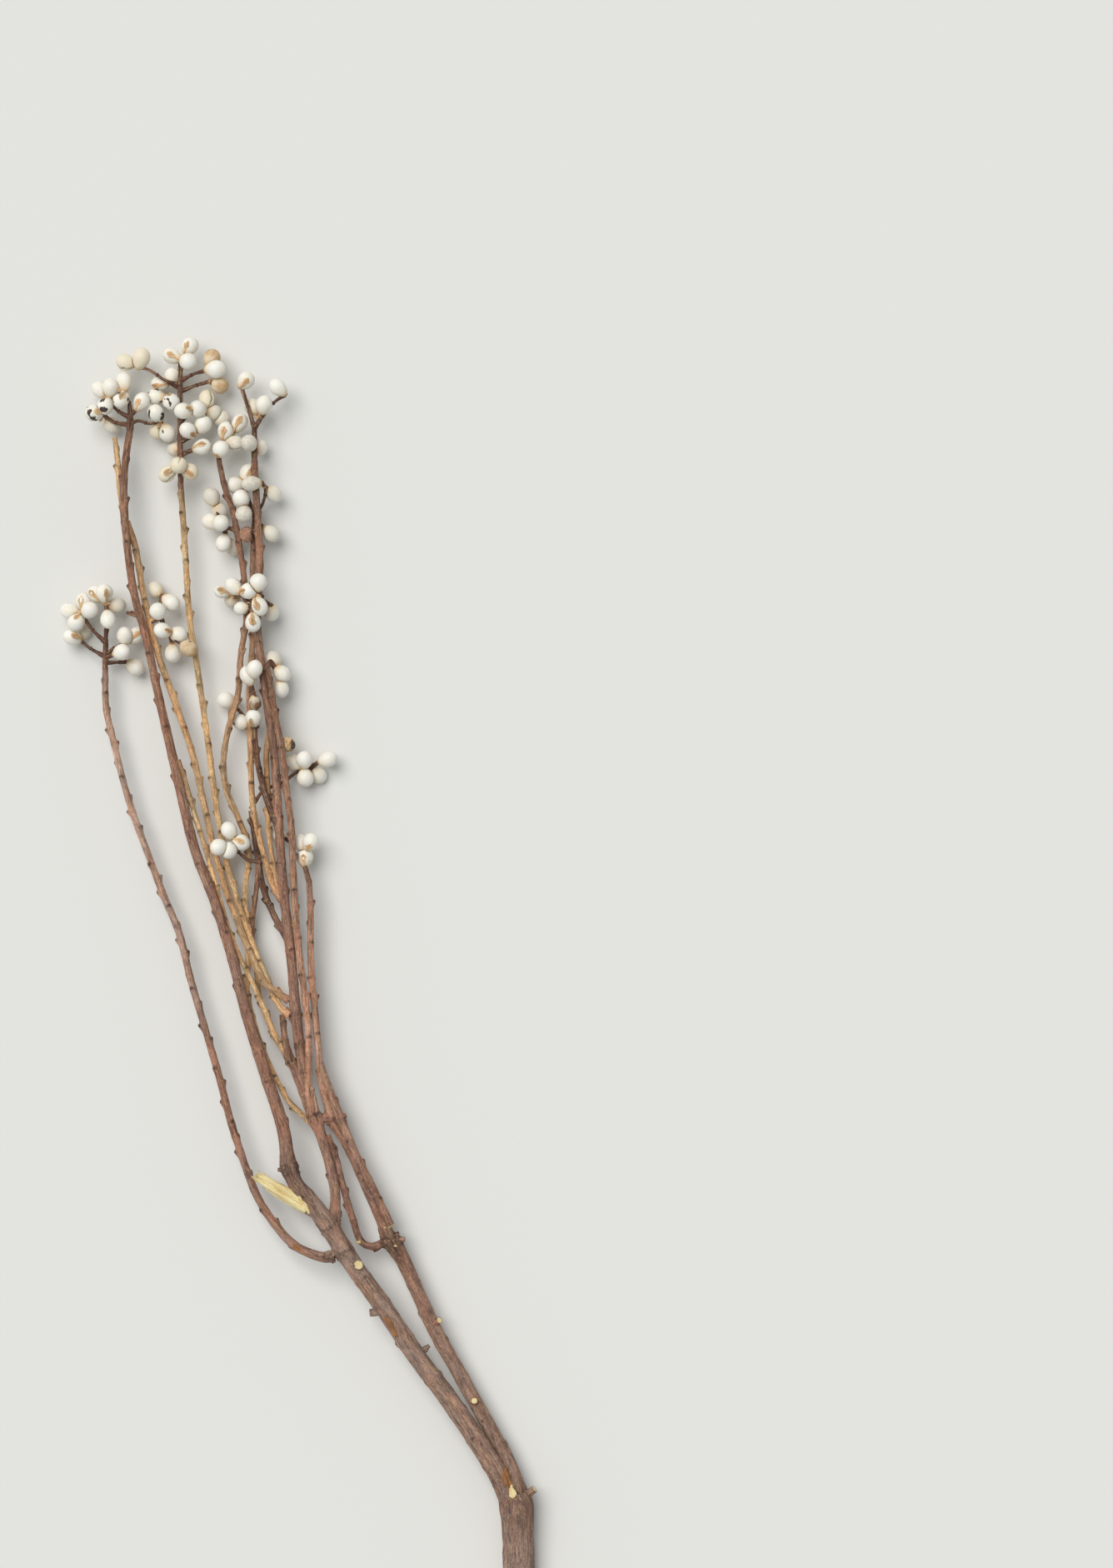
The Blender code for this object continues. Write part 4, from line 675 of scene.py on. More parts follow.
def with_ends(ends, long, rings):
    """Adds the rings that close a tube at its foot and at its tip."""
    foot = [(0.0, -step, share) for step, share in reversed(END_RINGS[ends[0]])]
    return foot + rings + [(long, step, share) for step, share in END_RINGS[ends[1]]]


class Limb:
    """One limb with its curve, its leaf scars and the limbs that it forks from or bears."""

    def __init__(self, points, foot, tip, rng, spacing, rise, ends, knuckles=()):
        self.route = Route(points)
        self.tones = (paint(foot), paint(tip))
        self.foot_tone = self.tones[0]
        self.rise = rise
        self.ends = ends
        self.offset = slide(rng, 2000.0)
        self.scars = []
        self.kin = []
        self.knuckles = knuckles
        at = spacing * rng.uniform(0.4, 0.7)
        where = rng.uniform(-math.pi, math.pi)
        while at < self.route.length - 2.0:
            self.scars.append((at, where))
            crowding = 0.75 + 0.95 * smooth(self.route.at(at)[1], 1.3, 3.0)
            at += spacing * crowding * rng.uniform(0.75, 1.25)
            where = wrap(where + GOLDEN_TURN + rng.uniform(-0.3, 0.3))

    def tree(self, reach=None):
        """A search tree of the curve's samples, up to a reach from its start."""
        count = sum(1 for s in self.route.lengths if reach is None or s <= reach)
        tree = KDTree(count)
        for k in range(count):
            tree.insert(self.route.points[k], k)
        tree.balance()
        return tree

    def sides(self):
        widest = max(self.route.radii)
        return int(min(max(2.0 * math.pi * widest / CORNER_SPACING, LEAST_SIDES), MOST_SIDES))

    def rings(self):
        """Every ring as its place along the limb, its step past the end and its share of the radius."""
        coarse = min(max(0.62 * max(self.route.radii), 0.9), 1.5)
        rings, at = [(0.0, 0.0, 1.0)], 0.0
        while at < self.route.length:
            near = min((abs(at - spot[0]) for spot in (*self.scars, *self.knuckles)), default=99.0)
            at += FINE_RING if near < FINE_REACH else coarse
            rings.append((min(at, self.route.length), 0.0, 1.0))
        return with_ends(self.ends, self.route.length, rings)

    def reach(self, s, angle, radius):
        """How far the bark stands out of the smooth limb at one place, and how dark a scar makes it."""
        out, shade = 0.0, 0.0
        scar_rise = self.rise * (1.0 - 0.55 * smooth(radius, 1.3, 2.8))
        for at, where in self.scars:
            ahead = s - at
            if abs(ahead) > SCAR_REACH:
                continue
            across = wrap(angle - where) * radius
            ledge = bell(ahead, 0.5 if ahead > 0.0 else 1.5) * bell(across, 0.7 + 0.25 * radius)
            bud = bell(ahead - 0.9, 0.6) * bell(across, 0.7)
            out += scar_rise * (0.85 * ledge + 1.3 * bud) + 0.06 * radius * bell(ahead, 1.4)
            shade += 0.9 * bell(ahead - 0.7, 0.8) * bell(across, 0.9) + 0.16 * bell(ahead - 0.4, 0.45)
        for at, width, wart_rise in self.knuckles:
            near = bell(s - at, width)
            if near > 0.02:
                wart = noise.noise(around(angle, radius * 0.8, s * 0.9) + self.offset)
                out += near * wart_rise * (0.5 + 1.6 * wart)
                shade += near * (0.3 + 0.9 * max(wart, 0.0))
        ridges = noise.noise(around(angle, 2.1, s * 0.06) + self.offset)
        lumps = noise.noise(around(angle, 0.8, s * 0.25) + self.offset)
        out += radius * (0.055 * ridges + 0.05 * lumps)
        return out, min(shade, DEEPEST_SHADE)

    def tone_at(self, s):
        """The bark's colour along the limb, which starts from its parent's and darkens under a spray."""
        long = self.route.length
        graded = mix(*self.tones, smooth(s / long, 0.25, 0.9))
        tone = mix(graded, self.foot_tone, math.exp(-s / (3.5 * self.route.radii[0])))
        crown = 1.0 - smooth(long - s, 4.0, CROWN_LENGTH) if long > 2.0 * CROWN_LENGTH else 0.0
        return mix(tone, paint("dark"), 0.5 * crown)

    def draw(self, bm):
        """Draws the limb as one closed tube of bark, with bare wood where an end is cut."""
        place, tone = layers_of(bm, BARK_LAYERS)
        rings = self.rings()
        spots = [self.route.at(s) for s, _, _ in rings]
        deep = paint("fissure")
        bare = set()

        def settle(vert, angle, number):
            s, step, share = rings[number]
            point, radius, turn = spots[number]
            way = turn @ around(angle)
            out, shade = self.reach(s, angle, radius)
            for tree, radii, rise, width, limit in self.kin:
                if limit is None or s <= limit:
                    _, index, distance = tree.find(point + way * radius)
                    out += rise * math.exp(-max(distance - radii[index], 0.0) / width)
            end = self.ends[0 if s == 0.0 else 1]
            rough = noise.noise(around(angle, 2.5, share) + self.offset)
            if end == "torn" and step:
                step -= 0.9 * rough
            if end == "cut" and share < 0.9:
                share *= 1.0 + 0.22 * rough
            vert.co = point + turn @ UP * (step * radius) + way * ((radius + out) * share)
            vert[place] = around(angle, radius * share, s + step * radius) + self.offset
            vert[tone] = mix(self.tone_at(s), deep, shade)
            if end == "cut" and share < 0.9 or end == "torn" and share < 0.95:
                bare.add(vert)

        loft(bm, self.sides(), len(rings), settle)
        second_material(bare)


def join_kin(limbs):
    """Finds the limb that each one grows from, so that the bark of both swells smoothly at the fork."""
    trees = [limb.tree() for limb in limbs]
    for k, limb in enumerate(limbs[1:], 1):
        foot = limb.route.points[0]
        gaps = []
        for j, other in enumerate(limbs):
            if j != k:
                _, index, distance = trees[j].find(foot)
                gaps.append((distance - other.route.radii[index], j, index))
        _, j, index = min(gaps)
        parent = limbs[j]
        limb.foot_tone = parent.tone_at(parent.route.lengths[index])
        swell = max(limb.route.radii[0], 1.0)
        rise, width = min(0.26 * swell, 0.6), 0.6 * swell
        limb.kin.append((trees[j], parent.route.radii, rise, width, FORK_REACH))
        parent.kin.append((limb.tree(FORK_REACH), limb.route.radii, rise, width, None))


def draw_old_fruit(bm, shown, x, y, z, wide, tall, rng):
    """A shrivelled brown fruit with wrinkles that run from its foot to its tip."""
    place, tone = layers_of(bm, BARK_LAYERS)
    offset = stray(rng, 90.0)
    body, deep = paint(shown), paint("fissure")
    for vert, p in ball(bm, FINE_BALL):
        angle = math.atan2(p.y, p.x)
        crease = 0.09 * abs(math.sin(1.5 * angle + offset.x)) ** 0.5 * (1.0 - p.z * p.z)
        wrinkle = 0.06 * noise.noise(p * 3.2 + offset) + 0.03 * noise.noise(p * 9.0 + offset)
        grown = p * (0.93 + crease + wrinkle)
        vert.co = Vector((x, y, z)) + Vector((grown.x * wide, grown.y * wide, grown.z * tall))
        vert[place] = p * wide * 1.6 + offset
        vert[tone] = mix(body, deep, smooth(p.x * 0.8 + p.z * 0.3 + 3.0 * wrinkle, 0.5, 0.8))


def draw_split_stub(bm, rng):
    """The split stub: bark below, and above it bare wood with long splinters and a ragged end."""
    place, tone = layers_of(bm, BARK_LAYERS)
    route = Route(SPLIT_STUB)
    offset = slide(rng)
    grey, deep = paint("grey"), paint("fissure")
    last = SPLIT_RINGS - 1
    stops = [route.length * k / last for k in range(SPLIT_RINGS)]
    rings = [route.at(s) for s in stops]
    bare = set()

    def settle(vert, angle, number):
        s = stops[number]
        point, radius, turn = rings[number]
        flat = around(angle)
        height = (turn @ flat).z
        edge = 0.25 * noise.noise(around(angle, 2.0, s * 0.35) + offset)
        skin = smooth(height + edge, -0.4, -0.2)
        opened = skin * smooth(s, 2.0, 6.0)
        splinter = noise.noise(around(angle, 2.6, s * 0.05) + offset)
        split = bell(flat.x * 3.0 - 0.6, 0.35) * smooth(height, 0.1, 0.5)
        ragged = noise.noise(around(angle, 2.6, 0.5) + offset)
        out = radius * (1.0 - 0.26 * opened * max(height, 0.0)) + opened * (1.3 * splinter - 0.9 * split)
        out += (1.0 - skin) * 0.15 * noise.noise(around(angle, 3.0, s * 0.5))
        way = flat * out
        way.z = 3.0 * ragged * smooth(s, route.length - 7.0, route.length)
        vert.co = point + turn @ way
        vert[place] = around(angle, radius, s) + offset
        vert[tone] = mix(grey, deep, 0.6 * bell(skin - 0.3, 0.3))
        if skin > 0.45 and s > 2.5 or number == last:
            bare.add(vert)

    loft(bm, SPLIT_SIDES, SPLIT_RINGS, settle)
    second_material(bare)


def bark_spot(x, y):
    """The place on the uppermost limb's skin over a point of the floor, and the way out of the limb."""
    spots = []
    for points in [TRUNK, *(points for _, _, points in LIMBS.values())]:
        route = Route(points)
        gap, k = min((math.hypot(p.x - x, p.y - y), k) for k, p in enumerate(route.points))
        if gap < route.radii[k]:
            rise = math.sqrt(route.radii[k] ** 2 - gap ** 2)
            spots.append((route.points[k].z + rise, k, route))
    if not spots:
        raise RuntimeError(f"no bark over {x}, {y}")
    height, k, route = max(spots, key=lambda spot: spot[0])
    spot = Vector((x, y, height))
    return spot, (spot - route.points[k]).normalized()


def draw_patch(bm, spot, out, along, half_width, pitted, rng):
    """A thin lens of bare or torn wood, half sunk in the bark, with pits and a ragged rim of dark bark."""
    place, tone = layers_of(bm, BARK_LAYERS)
    along = Vector((*along, 0.0))
    along -= out * along.dot(out)
    across = along.cross(out).normalized()
    offset = slide(rng)
    dark = paint("dark")
    barky = set()
    for vert, p in ball(bm, FINE_BALL):
        if p.z < 0.24 + 0.4 * noise.noise(p * 2.2 + offset) or noise.noise(p * 5.5 - offset) > pitted:
            barky.add(vert)
        edge = 1.0 + 0.55 * noise.noise(Vector((p.x * 2.6, p.y * 1.6, 0.0)) + offset)
        fibre = 0.3 * noise.noise(Vector((p.x * 5.0, p.y * 1.1, 0.0)) + offset)
        vert.co = (spot + across * (p.x * half_width * edge * (1.0 + 0.6 * p.y ** 4)) + along * (p.y * edge)
                   + out * (p.z * (0.3 + fibre) * half_width + 0.12 - 0.14 * p.x * p.x * half_width))
        vert[place] = Vector((p.x * half_width, p.z * half_width, p.y * along.length)) + offset
        vert[tone] = dark
    second_material(barky)


def wood_piece():
    """The trunk, its branches, twigs and stubs, as one piece of bark with bare wood at its cuts."""
    rng = random.Random(BARK_SEED)
    spacing, rise = in_mm(sizes().scar_spacing), in_mm(sizes().scar_rise)
    limbs = [Limb(TRUNK, "grey", "grey", rng, SPARSE_SPACING, TRUNK_SCAR_RISE, ("cut", "round"))]
    for name, (foot, tip, points) in LIMBS.items():
        gap = DARK_TWIG_SPACING if foot == "dark" else spacing
        ends = ("torn" if name == "twig_right_torn" else "plain", "round")
        limbs.append(Limb(points, foot, tip, rng, gap, rise, ends, KNUCKLES.get(name, ())))
    join_kin(limbs)
    for tone, end, points in STUBS.values():
        knuckles = WORN_STUB if end == "worn" else ()
        limbs.append(Limb(points, tone, tone, rng, SPARSE_SPACING, rise, ("plain", end), knuckles))
    whole = bmesh.new()
    for limb in limbs:
        bm = bmesh.new()
        limb.draw(bm)
        gather(whole, bm)
    for fruit in OLD_FRUITS:
        draw_old_fruit(whole, *fruit, rng)
    bm = bmesh.new()
    draw_split_stub(bm, rng)
    gather(whole, bm)
    return new_piece("stem_bark", whole, [bark_material(), cut_wood_material()], ["woody_stem"])


def torn_pieces():
    """The spots where torn inner bark or bare wood shows."""
    rng = random.Random(BARK_SEED + 1)
    pieces = {"torn": bmesh.new(), "bare": bmesh.new()}
    for (x, y), along, half_width, shown in BARK_TEARS.values():
        spot, out = bark_spot(x, y)
        draw_patch(pieces[shown], spot, out, along, half_width, PITTED_FROM[shown], rng)
    new_piece("torn_bark", pieces["torn"], [torn_material(), bark_material()])
    new_piece("bare_spots", pieces["bare"], [cut_wood_material(), bark_material()])


def draw_tube(bm, points, tones, offset, bumps=0.05, sides=STALK_SIDES, step=0.8):
    """Draws a thin closed tube with rounded ends through points of three places and a radius."""
    place, tone = layers_of(bm, BARK_LAYERS)
    route = Route(points)
    count = max(int(route.length / step), 3)
    rings = with_ends(("round", "round"), route.length,
                      [(route.length * k / count, 0.0, 1.0) for k in range(count + 1)])
    spots = [route.at(s) for s, _, _ in rings]

    def settle(vert, angle, number):
        s, far, share = rings[number]
        point, radius, turn = spots[number]
        lump = noise.noise(around(angle, 1.0, s * 0.5) + offset)
        vert.co = point + turn @ around(angle, radius * share * (1.0 + bumps * 2.0 * lump), far * radius)
        vert[place] = around(angle, radius, s) + offset
        vert[tone] = mix(tones[0], tones[1], s / route.length)

    loft(bm, sides, len(rings), settle)


class Seed:
    """One seed in its wax: where it sits, which way it points and how it has weathered."""

    def __init__(self, place, hub, letter, spread):
        self.letter = letter.lower()
        self.husk = letter.isupper()
        self.centre = Vector(place[:3])
        self.hub = Vector(hub)
        scale = (place[3] if len(place) > 3 else 1.0) * (1.0 + spread)
        self.wide = in_mm(sizes().seed_width) * 0.5 * scale
        self.tall = in_mm(sizes().seed_length) * 0.5 * scale * (1.0 - 1.8 * spread)
        self.along = (self.centre - self.hub).normalized()
        self.turn = self.along.to_track_quat("Z", "X")

    def skin(self, p):
        """The place on the seed's smooth skin of a point of the unit ball."""
        girth = self.wide * (1.02 + 0.19 * p.z - 0.14 * p.z * p.z)
        return self.centre + self.turn @ Vector((p.x * girth, p.y * girth, p.z * self.tall))


def seeds_of(name, rng):
    """The spray's fruits, each as its stalk's points and its seeds."""
    return [(stalk, [Seed(place, stalk[-1], letter, rng.uniform(-0.05, 0.05))
                     for place, letter in zip(places, letters)])
            for stalk, places, letters in SPRAYS[name]["fruits"]]


def draw_seed(bm, seed, others, rng):
    """Draws a seed: an egg pressed flat towards its neighbours, dented, creased or worn."""
    place, tinted, weathered, foot_tint_and_shade = layers_of(bm, SEED_LAYERS)
    offset = stray(rng, 90.0)
    crease = rng.uniform(-math.pi, math.pi)
    shift = 1.0 + rng.uniform(-0.03, 0.03)
    shade = (*[min(part * shift, 1.0) for part in getattr(colours(), SEED_KINDS[seed.letter])], 1.0)
    ways = [other.centre - seed.centre for other in others if other is not seed]
    near = [(way.normalized(), 0.5 * way.length - 0.25) for way in ways if way.length < 2.1 * seed.wide]
    worn = WORN_FROM.get(seed.letter, BARELY_WORN_FROM)
    for vert, p in ball(bm, sizes().smoothness + (1 if seed.letter in "dcm" else 0)):
        dent = 0.035 * noise.noise(p * 1.1 + offset) + 0.012 * noise.noise(p * 4.0 + offset)
        wear = noise.noise(p * 1.5 - offset) + 0.13 * noise.noise(p * 6.0 - offset)
        wear = smooth(wear, worn, worn + 0.07)
        if seed.letter == "m":
            wear = max(wear, 0.2)
        hollow = 0.0
        if seed.letter in CREASED:
            side = wrap(math.atan2(p.y, p.x) - crease - 0.25 * noise.noise(p * 2.0 + offset))
            hollow = 0.5 * bell(side, 0.14) * (1.0 - p.z ** 4)
            wear = max(wear, (0.4 if seed.letter == "m" else 0.7) * bell(side, 0.09))
        skin = seed.skin(p)
        out = (skin - seed.centre).normalized()
        skin += out * (dent * seed.wide - 0.28 * wear - hollow)
        for way, half in near:
            past = (skin - seed.centre).dot(way) - half
            if past > 0.0:
                skin -= way * (past * 0.92)
        vert.co = skin
        vert[place] = p * seed.wide + offset
        vert[tinted] = shade
        vert[weathered] = wear
        # How near the foot each corner is: it paints the cream and tawny foot, partly the seed's own colour
        # and partly shade painted where the seeds crowd at the hub
        vert[foot_tint_and_shade] = 0.5 - 0.5 * p.z


def seed_piece(name):
    """All seeds of a spray as one piece."""
    rng = random.Random(f"{name} {SPRAY_SEED}")
    bm = bmesh.new()
    everyone = [seed for _, seeds in seeds_of(name, rng) for seed in seeds]
    for seed in everyone:
        draw_seed(bm, seed, everyone, rng)
    new_piece(name + "_seeds", bm, [seed_material()], [name], sharp=80.0)


def stalk_piece(name):
    """The dark stalks of a spray, knobbed at their joints."""
    rng = random.Random(f"{name} stalks {SPRAY_SEED}")
    bm = bmesh.new()
    dark = mix(paint("dark"), paint("fissure"), 0.25)
    brown = mix(paint("brown"), dark, 0.35)
    rachis = SPRAYS[name]["rachis"]
    thin = in_mm(sizes().stalk_width) * 0.5
    first, second = Vector(rachis[0][:3]), Vector(rachis[1][:3])
    root = first - (second - first).normalized() * RACHIS_DEPTH
    draw_tube(bm, [(*root, rachis[0][3] * 0.9), *rachis], (brown, dark), slide(rng), bumps=STALK_BUMPS)
    for stalk, seeds in seeds_of(name, rng):
        offset = slide(rng)
        route = [(*point, thin * rng.uniform(0.85, 1.1)) for point in stalk]
        route[0], route[-1] = (*stalk[0], thin * 1.7), (*stalk[-1], thin * 1.35)
        draw_tube(bm, route, (dark, mix(dark, brown, rng.uniform(0.1, 0.7))), offset, bumps=STALK_BUMPS)
        hub = Vector(stalk[-1])
        far = (hub - Vector(stalk[0])).length
        if far > COLLARED_LENGTH:
            knot, _, turn = Route(route).at(far * rng.uniform(0.45, 0.7))
            half = turn @ UP * 0.5
            draw_tube(bm, [(*(knot - half), thin), (*knot, thin * 1.5), (*(knot + half), thin)],
                      (dark, dark), offset, step=0.25)
        for seed in seeds:
            meet = seed.centre - seed.along * (seed.tall * 0.75)
            if (meet - hub).length > 0.8:
                draw_tube(bm, [(*hub, thin * 0.8), (*meet, thin * 0.9)], (brown, brown), offset)
    new_piece(name + "_stalks", bm, [bark_material()])


def draw_ribbon(bm, spots, aside, wide, widest, rng):
    """Draws a papery ribbon along spots that know their way out; it is widest at one share of it."""
    place, tone = layers_of(bm, BARK_LAYERS)
    offset = slide(rng)
    thick = in_mm(sizes().strip_thickness)
    light, deep = paint("husk"), paint("husk_dark")
    last = len(spots) - 1

    def settle(vert, angle, number):
        share = number / last
        point, out = spots[number]
        across, up = math.cos(angle), math.sin(angle)
        swell = bell(share - widest, 0.2)
        width = 0.3 + 0.12 * share + 0.58 * swell
        width *= math.sqrt(max(1.0 - max((share - widest - 0.1) / (0.9 - widest), 0.0) ** 2, 0.02))
        width *= 1.0 + 0.5 * noise.noise(Vector((across, 0.0, share * 5.0)) + offset)
        groove = 0.5 * max(up, 0.0) * swell * bell(across, 0.45)
        lift = 0.5 * up - groove + 0.25 * noise.noise(Vector((0.0, 1.0, share * 4.0)) + offset)
        vert.co = point + aside * (across * width * wide * 0.5) + out * (thick * lift + 0.12)
        vert[place] = Vector((across * width * 2.0, up, share * 7.0)) + offset
        vert[tone] = mix(light, deep, 0.04 + 0.66 * swell * bell(across, 0.5) * max(up, 0.0))

    loft(bm, RIBBON_SIDES, len(spots), settle)


def draw_strip(bm, seed, rng):
    """Draws the strip that runs from the hub over a seed and ends in a drop."""
    up = seed.turn.inverted() @ UP
    side = around(math.atan2(up.y, up.x) + rng.uniform(-0.35, 0.35))
    start, end = -1.3, rng.uniform(0.2, 0.85)
    spots = []
    for k in range(STRIP_RINGS):
        share = k / (STRIP_RINGS - 1)
        t = start + (end - start) * share
        skin = seed.skin(side * math.cos(t) + UP * math.sin(t))
        out = (skin - seed.centre).normalized()
        spots.append((skin.lerp(seed.hub + UP * 0.7, 1.0 - smooth(share, 0.0, 0.25)), out))
    wide = in_mm(sizes().strip_width) * rng.uniform(0.85, 1.2)
    draw_ribbon(bm, spots, seed.turn @ side.cross(UP), wide, 0.76, rng)


def draw_flap(bm, hub, way, rng):
    """Draws a short flap of husk that curls away from a fruit's foot."""
    way = way.normalized()
    aside = way.cross(UP).normalized()
    out = aside.cross(way)
    far, curl = rng.uniform(2.4, 4.2), rng.uniform(-0.8, 1.4)
    last = FLAP_RINGS - 1
    spots = [(hub + way * (far * k / last) + out * (0.4 + curl * math.sin(2.2 * k / last)), out)
             for k in range(FLAP_RINGS)]
    draw_ribbon(bm, spots, aside, rng.uniform(1.2, 2.2), rng.uniform(0.4, 0.7), rng)


def draw_shred(bm, hub, way, rng):
    """Draws a curled fibre that sticks out of a fruit's foot."""
    way = way.normalized()
    aside = way.orthogonal().normalized()
    aside.rotate(Quaternion(way, rng.uniform(-math.pi, math.pi)))
    far, curl = rng.uniform(2.5, 5.0), rng.uniform(0.5, 1.6)
    points = []
    for share in (0.0, 0.2, 0.4, 0.6, 0.8, 1.0):
        spot = hub + way * (far * share) + aside * (curl * math.sin(share * 2.6) * (1.0 + share))
        points.append((*spot, 0.26 - 0.14 * share))
    draw_tube(bm, points, (paint("husk_dark"), paint("husk")), slide(rng), sides=6)


def husk_piece(name):
    """What is left of the husks: the cores between the seeds, papery strips and curled fibres."""
    rng = random.Random(f"{name} husks {SPRAY_SEED}")
    bm = bmesh.new()
    for stalk, seeds in seeds_of(name, rng):
        hub = Vector(stalk[-1])
        middle = sum((seed.along for seed in seeds), Vector()).normalized()
        offset = slide(rng)
        tall = 2.4 if len(seeds) > 1 else 1.0
        core = [(*(hub - middle * 0.6), 0.95), (*(hub + middle * tall * 0.4), 1.1),
                (*(hub + middle * tall), 0.6)]
        draw_tube(bm, core, (paint("husk_dark"), paint("husk")), offset, bumps=0.2, sides=12, step=0.35)
        for seed in seeds:
            if seed.husk:
                draw_strip(bm, seed, rng)
        for _ in range(rng.choice((1, 1, 2, 3)) if len(seeds) > 1 else rng.choice((0, 0, 1))):
            draw_flap(bm, hub, middle + stray(rng, 1.1), rng)
        if rng.random() < 0.4:
            draw_shred(bm, hub, middle + stray(rng, 0.9), rng)
    new_piece(name + "_husks", bm, [husk_material()])


def add_node(tree, kind, inputs=None, **settings):
    """Adds a node, with its settings and its inputs as values or links."""
    made = tree.nodes.new(kind)
    for name, value in settings.items():
        setattr(made, name, value)
    for name, value in (inputs or {}).items():
        socket = made.inputs[name]
        if isinstance(value, bpy.types.NodeSocket):
            tree.links.new(value, socket)
        else:
            socket.default_value = value
    return made


def blend(tree, factor, first, second, kind="MIX"):
    """Mixes two colours and returns the result's socket."""
    made = add_node(tree, "ShaderNodeMix", {0: factor, 6: first, 7: second},
                    data_type="RGBA", blend_type=kind)
    return made.outputs[2]


def sum_up(tree, kind, first, second=0.0, clamp=False):
    """Does one sum with two values and returns the result's socket."""
    made = add_node(tree, "ShaderNodeMath", {0: first, 1: second}, operation=kind, use_clamp=clamp)
    return made.outputs[0]


def times(tree, first, second):
    return sum_up(tree, "MULTIPLY", first, second)


def left_of(tree, mask):
    """What a mask leaves out."""
    return sum_up(tree, "SUBTRACT", 1.0, mask, True)


def weighted(tree, *parts):
    """Adds up values, each times its weight, and returns the result's socket."""
    total = times(tree, *parts[0])
    for value, weight in parts[1:]:
        total = sum_up(tree, "ADD", total, times(tree, value, weight))
    return total


def vector_sum(tree, kind, inputs):
    return add_node(tree, "ShaderNodeVectorMath", inputs, operation=kind).outputs


def grain(tree, vector, scale, detail=4.0, roughness=0.55, distortion=0.0):
    """Adds noise and returns its value's socket."""
    made = add_node(tree, "ShaderNodeTexNoise",
                    {"Vector": vector, "Scale": scale, "Detail": detail, "Roughness": roughness,
                     "Distortion": distortion})
    return made.outputs[0]


def stretched(tree, place, across, along):
    """Stretches a limb's own place across it and along it."""
    return vector_sum(tree, "MULTIPLY", {0: place, 1: (across, across, along)})[0]


def long_grain(tree, place, across, along, detail, roughness, distortion=0.0):
    """Adds noise that is drawn out along a limb."""
    return grain(tree, stretched(tree, place, across, along), 1.0, detail, roughness, distortion)


def ranged(tree, value, low, high, start, end):
    """Turns a value between low and high into one between start and end."""
    made = add_node(tree, "ShaderNodeMapRange",
                    {"Value": value, "From Min": low, "From Max": high, "To Min": start, "To Max": end})
    return made.outputs[0]


def step_up(tree, value, low, high):
    """Turns a value into a mask that rises from 0 at low to 1 at high."""
    return ranged(tree, value, low, high, 0.0, 1.0)


def effect_group(name, inputs, outputs, draw):
    """Finds a shader node group, or makes it with its sockets and draws its nodes once."""
    group = bpy.data.node_groups.get(name)
    if group:
        return group
    group = bpy.data.node_groups.new(name, "ShaderNodeTree")
    for way, labels in (("INPUT", inputs), ("OUTPUT", outputs)):
        for label in labels:
            kind = "NodeSocket" + SOCKET_KINDS.get(label, "Float")
            group.interface.new_socket(label, in_out=way, socket_type=kind)
    way_in = group.nodes.new("NodeGroupInput")
    way_out = group.nodes.new("NodeGroupOutput")
    for label, socket in draw(group, way_in.outputs).items():
        group.links.new(socket, way_out.inputs[label])
    return group


def draw_bark_effect(tree, given):
    """Lengthwise wrinkles and streaks, fissures, warm and grey blotches and pale lenticels."""
    place, age = given["Place"], given["Age"]
    wrinkles = long_grain(tree, place, 1.05, 0.1, 5.0, 0.66, 0.4)
    streaks = long_grain(tree, place, 1.5, 0.14, 4.0, 0.7, 0.3)
    fibres = long_grain(tree, place, 2.6, 0.7, 3.0, 0.65)
    blotches = long_grain(tree, place, 0.4, 0.1, 3.0, 0.6, 0.6)
    patches = long_grain(tree, place, 0.26, 0.055, 2.0, 0.5, 0.4)
    dots = add_node(tree, "ShaderNodeTexVoronoi",
                    {"Vector": stretched(tree, place, 0.62, 0.4), "Scale": 1.0, "Randomness": 1.0})
    lenticel = left_of(tree, step_up(tree, dots.outputs["Distance"], 0.14, 0.28))
    fissure = left_of(tree, step_up(tree, wrinkles, 0.34, 0.47))
    hue = add_node(tree, "ShaderNodeCombineXYZ",
                   {axis: ranged(tree, patches, 0.4, 0.6, grey, warm)
                    for axis, grey, warm in (("X", 0.96, 1.06), ("Y", 1.01, 0.94), ("Z", 1.06, 0.88))})
    bright = times(tree, ranged(tree, blotches, 0.35, 0.65, 0.7, 1.38),
                   ranged(tree, fibres, 0.32, 0.68, 0.62, 1.46))
    hued = vector_sum(tree, "MULTIPLY", {0: given["Tone"], 1: hue.outputs[0]})[0]
    lit = vector_sum(tree, "SCALE", {0: hued, "Scale": bright})[0]
    pale = blend(tree, 0.58, lit, paint("straw"))
    streaked = blend(tree, times(tree, step_up(tree, streaks, 0.52, 0.68), age), lit, pale)
    furrowed = blend(tree, times(tree, fissure, age), streaked, blend(tree, 0.62, lit, paint("fissure")))
    return {"Color": blend(tree, times(tree, lenticel, 0.55), furrowed, pale),
            "Height": weighted(tree, (wrinkles, 0.7), (streaks, 0.35), (fibres, 0.12), (lenticel, 0.14)),
            "Roughness": ranged(tree, blotches, 0.3, 0.7, 0.82, 0.6)}


def draw_fibre_effect(tree, given):
    """Bare wood: long fibres, and growth rings that show on a cut end."""
    fibres = long_grain(tree, given["Place"], 1.7, 0.16, 5.0, 0.68, 0.4)
    across = vector_sum(tree, "LENGTH", {0: stretched(tree, given["Place"], 1.0, 0.0)})["Value"]
    rings = sum_up(tree, "SINE", times(tree, weighted(tree, (across, 1.0), (fibres, 0.5)), 7.0))
    mixed = weighted(tree, (fibres, 1.0), (rings, 0.05))
    return {"Color": blend(tree, step_up(tree, mixed, 0.36, 0.66), given["Dark"], given["Light"]),
            "Height": fibres}


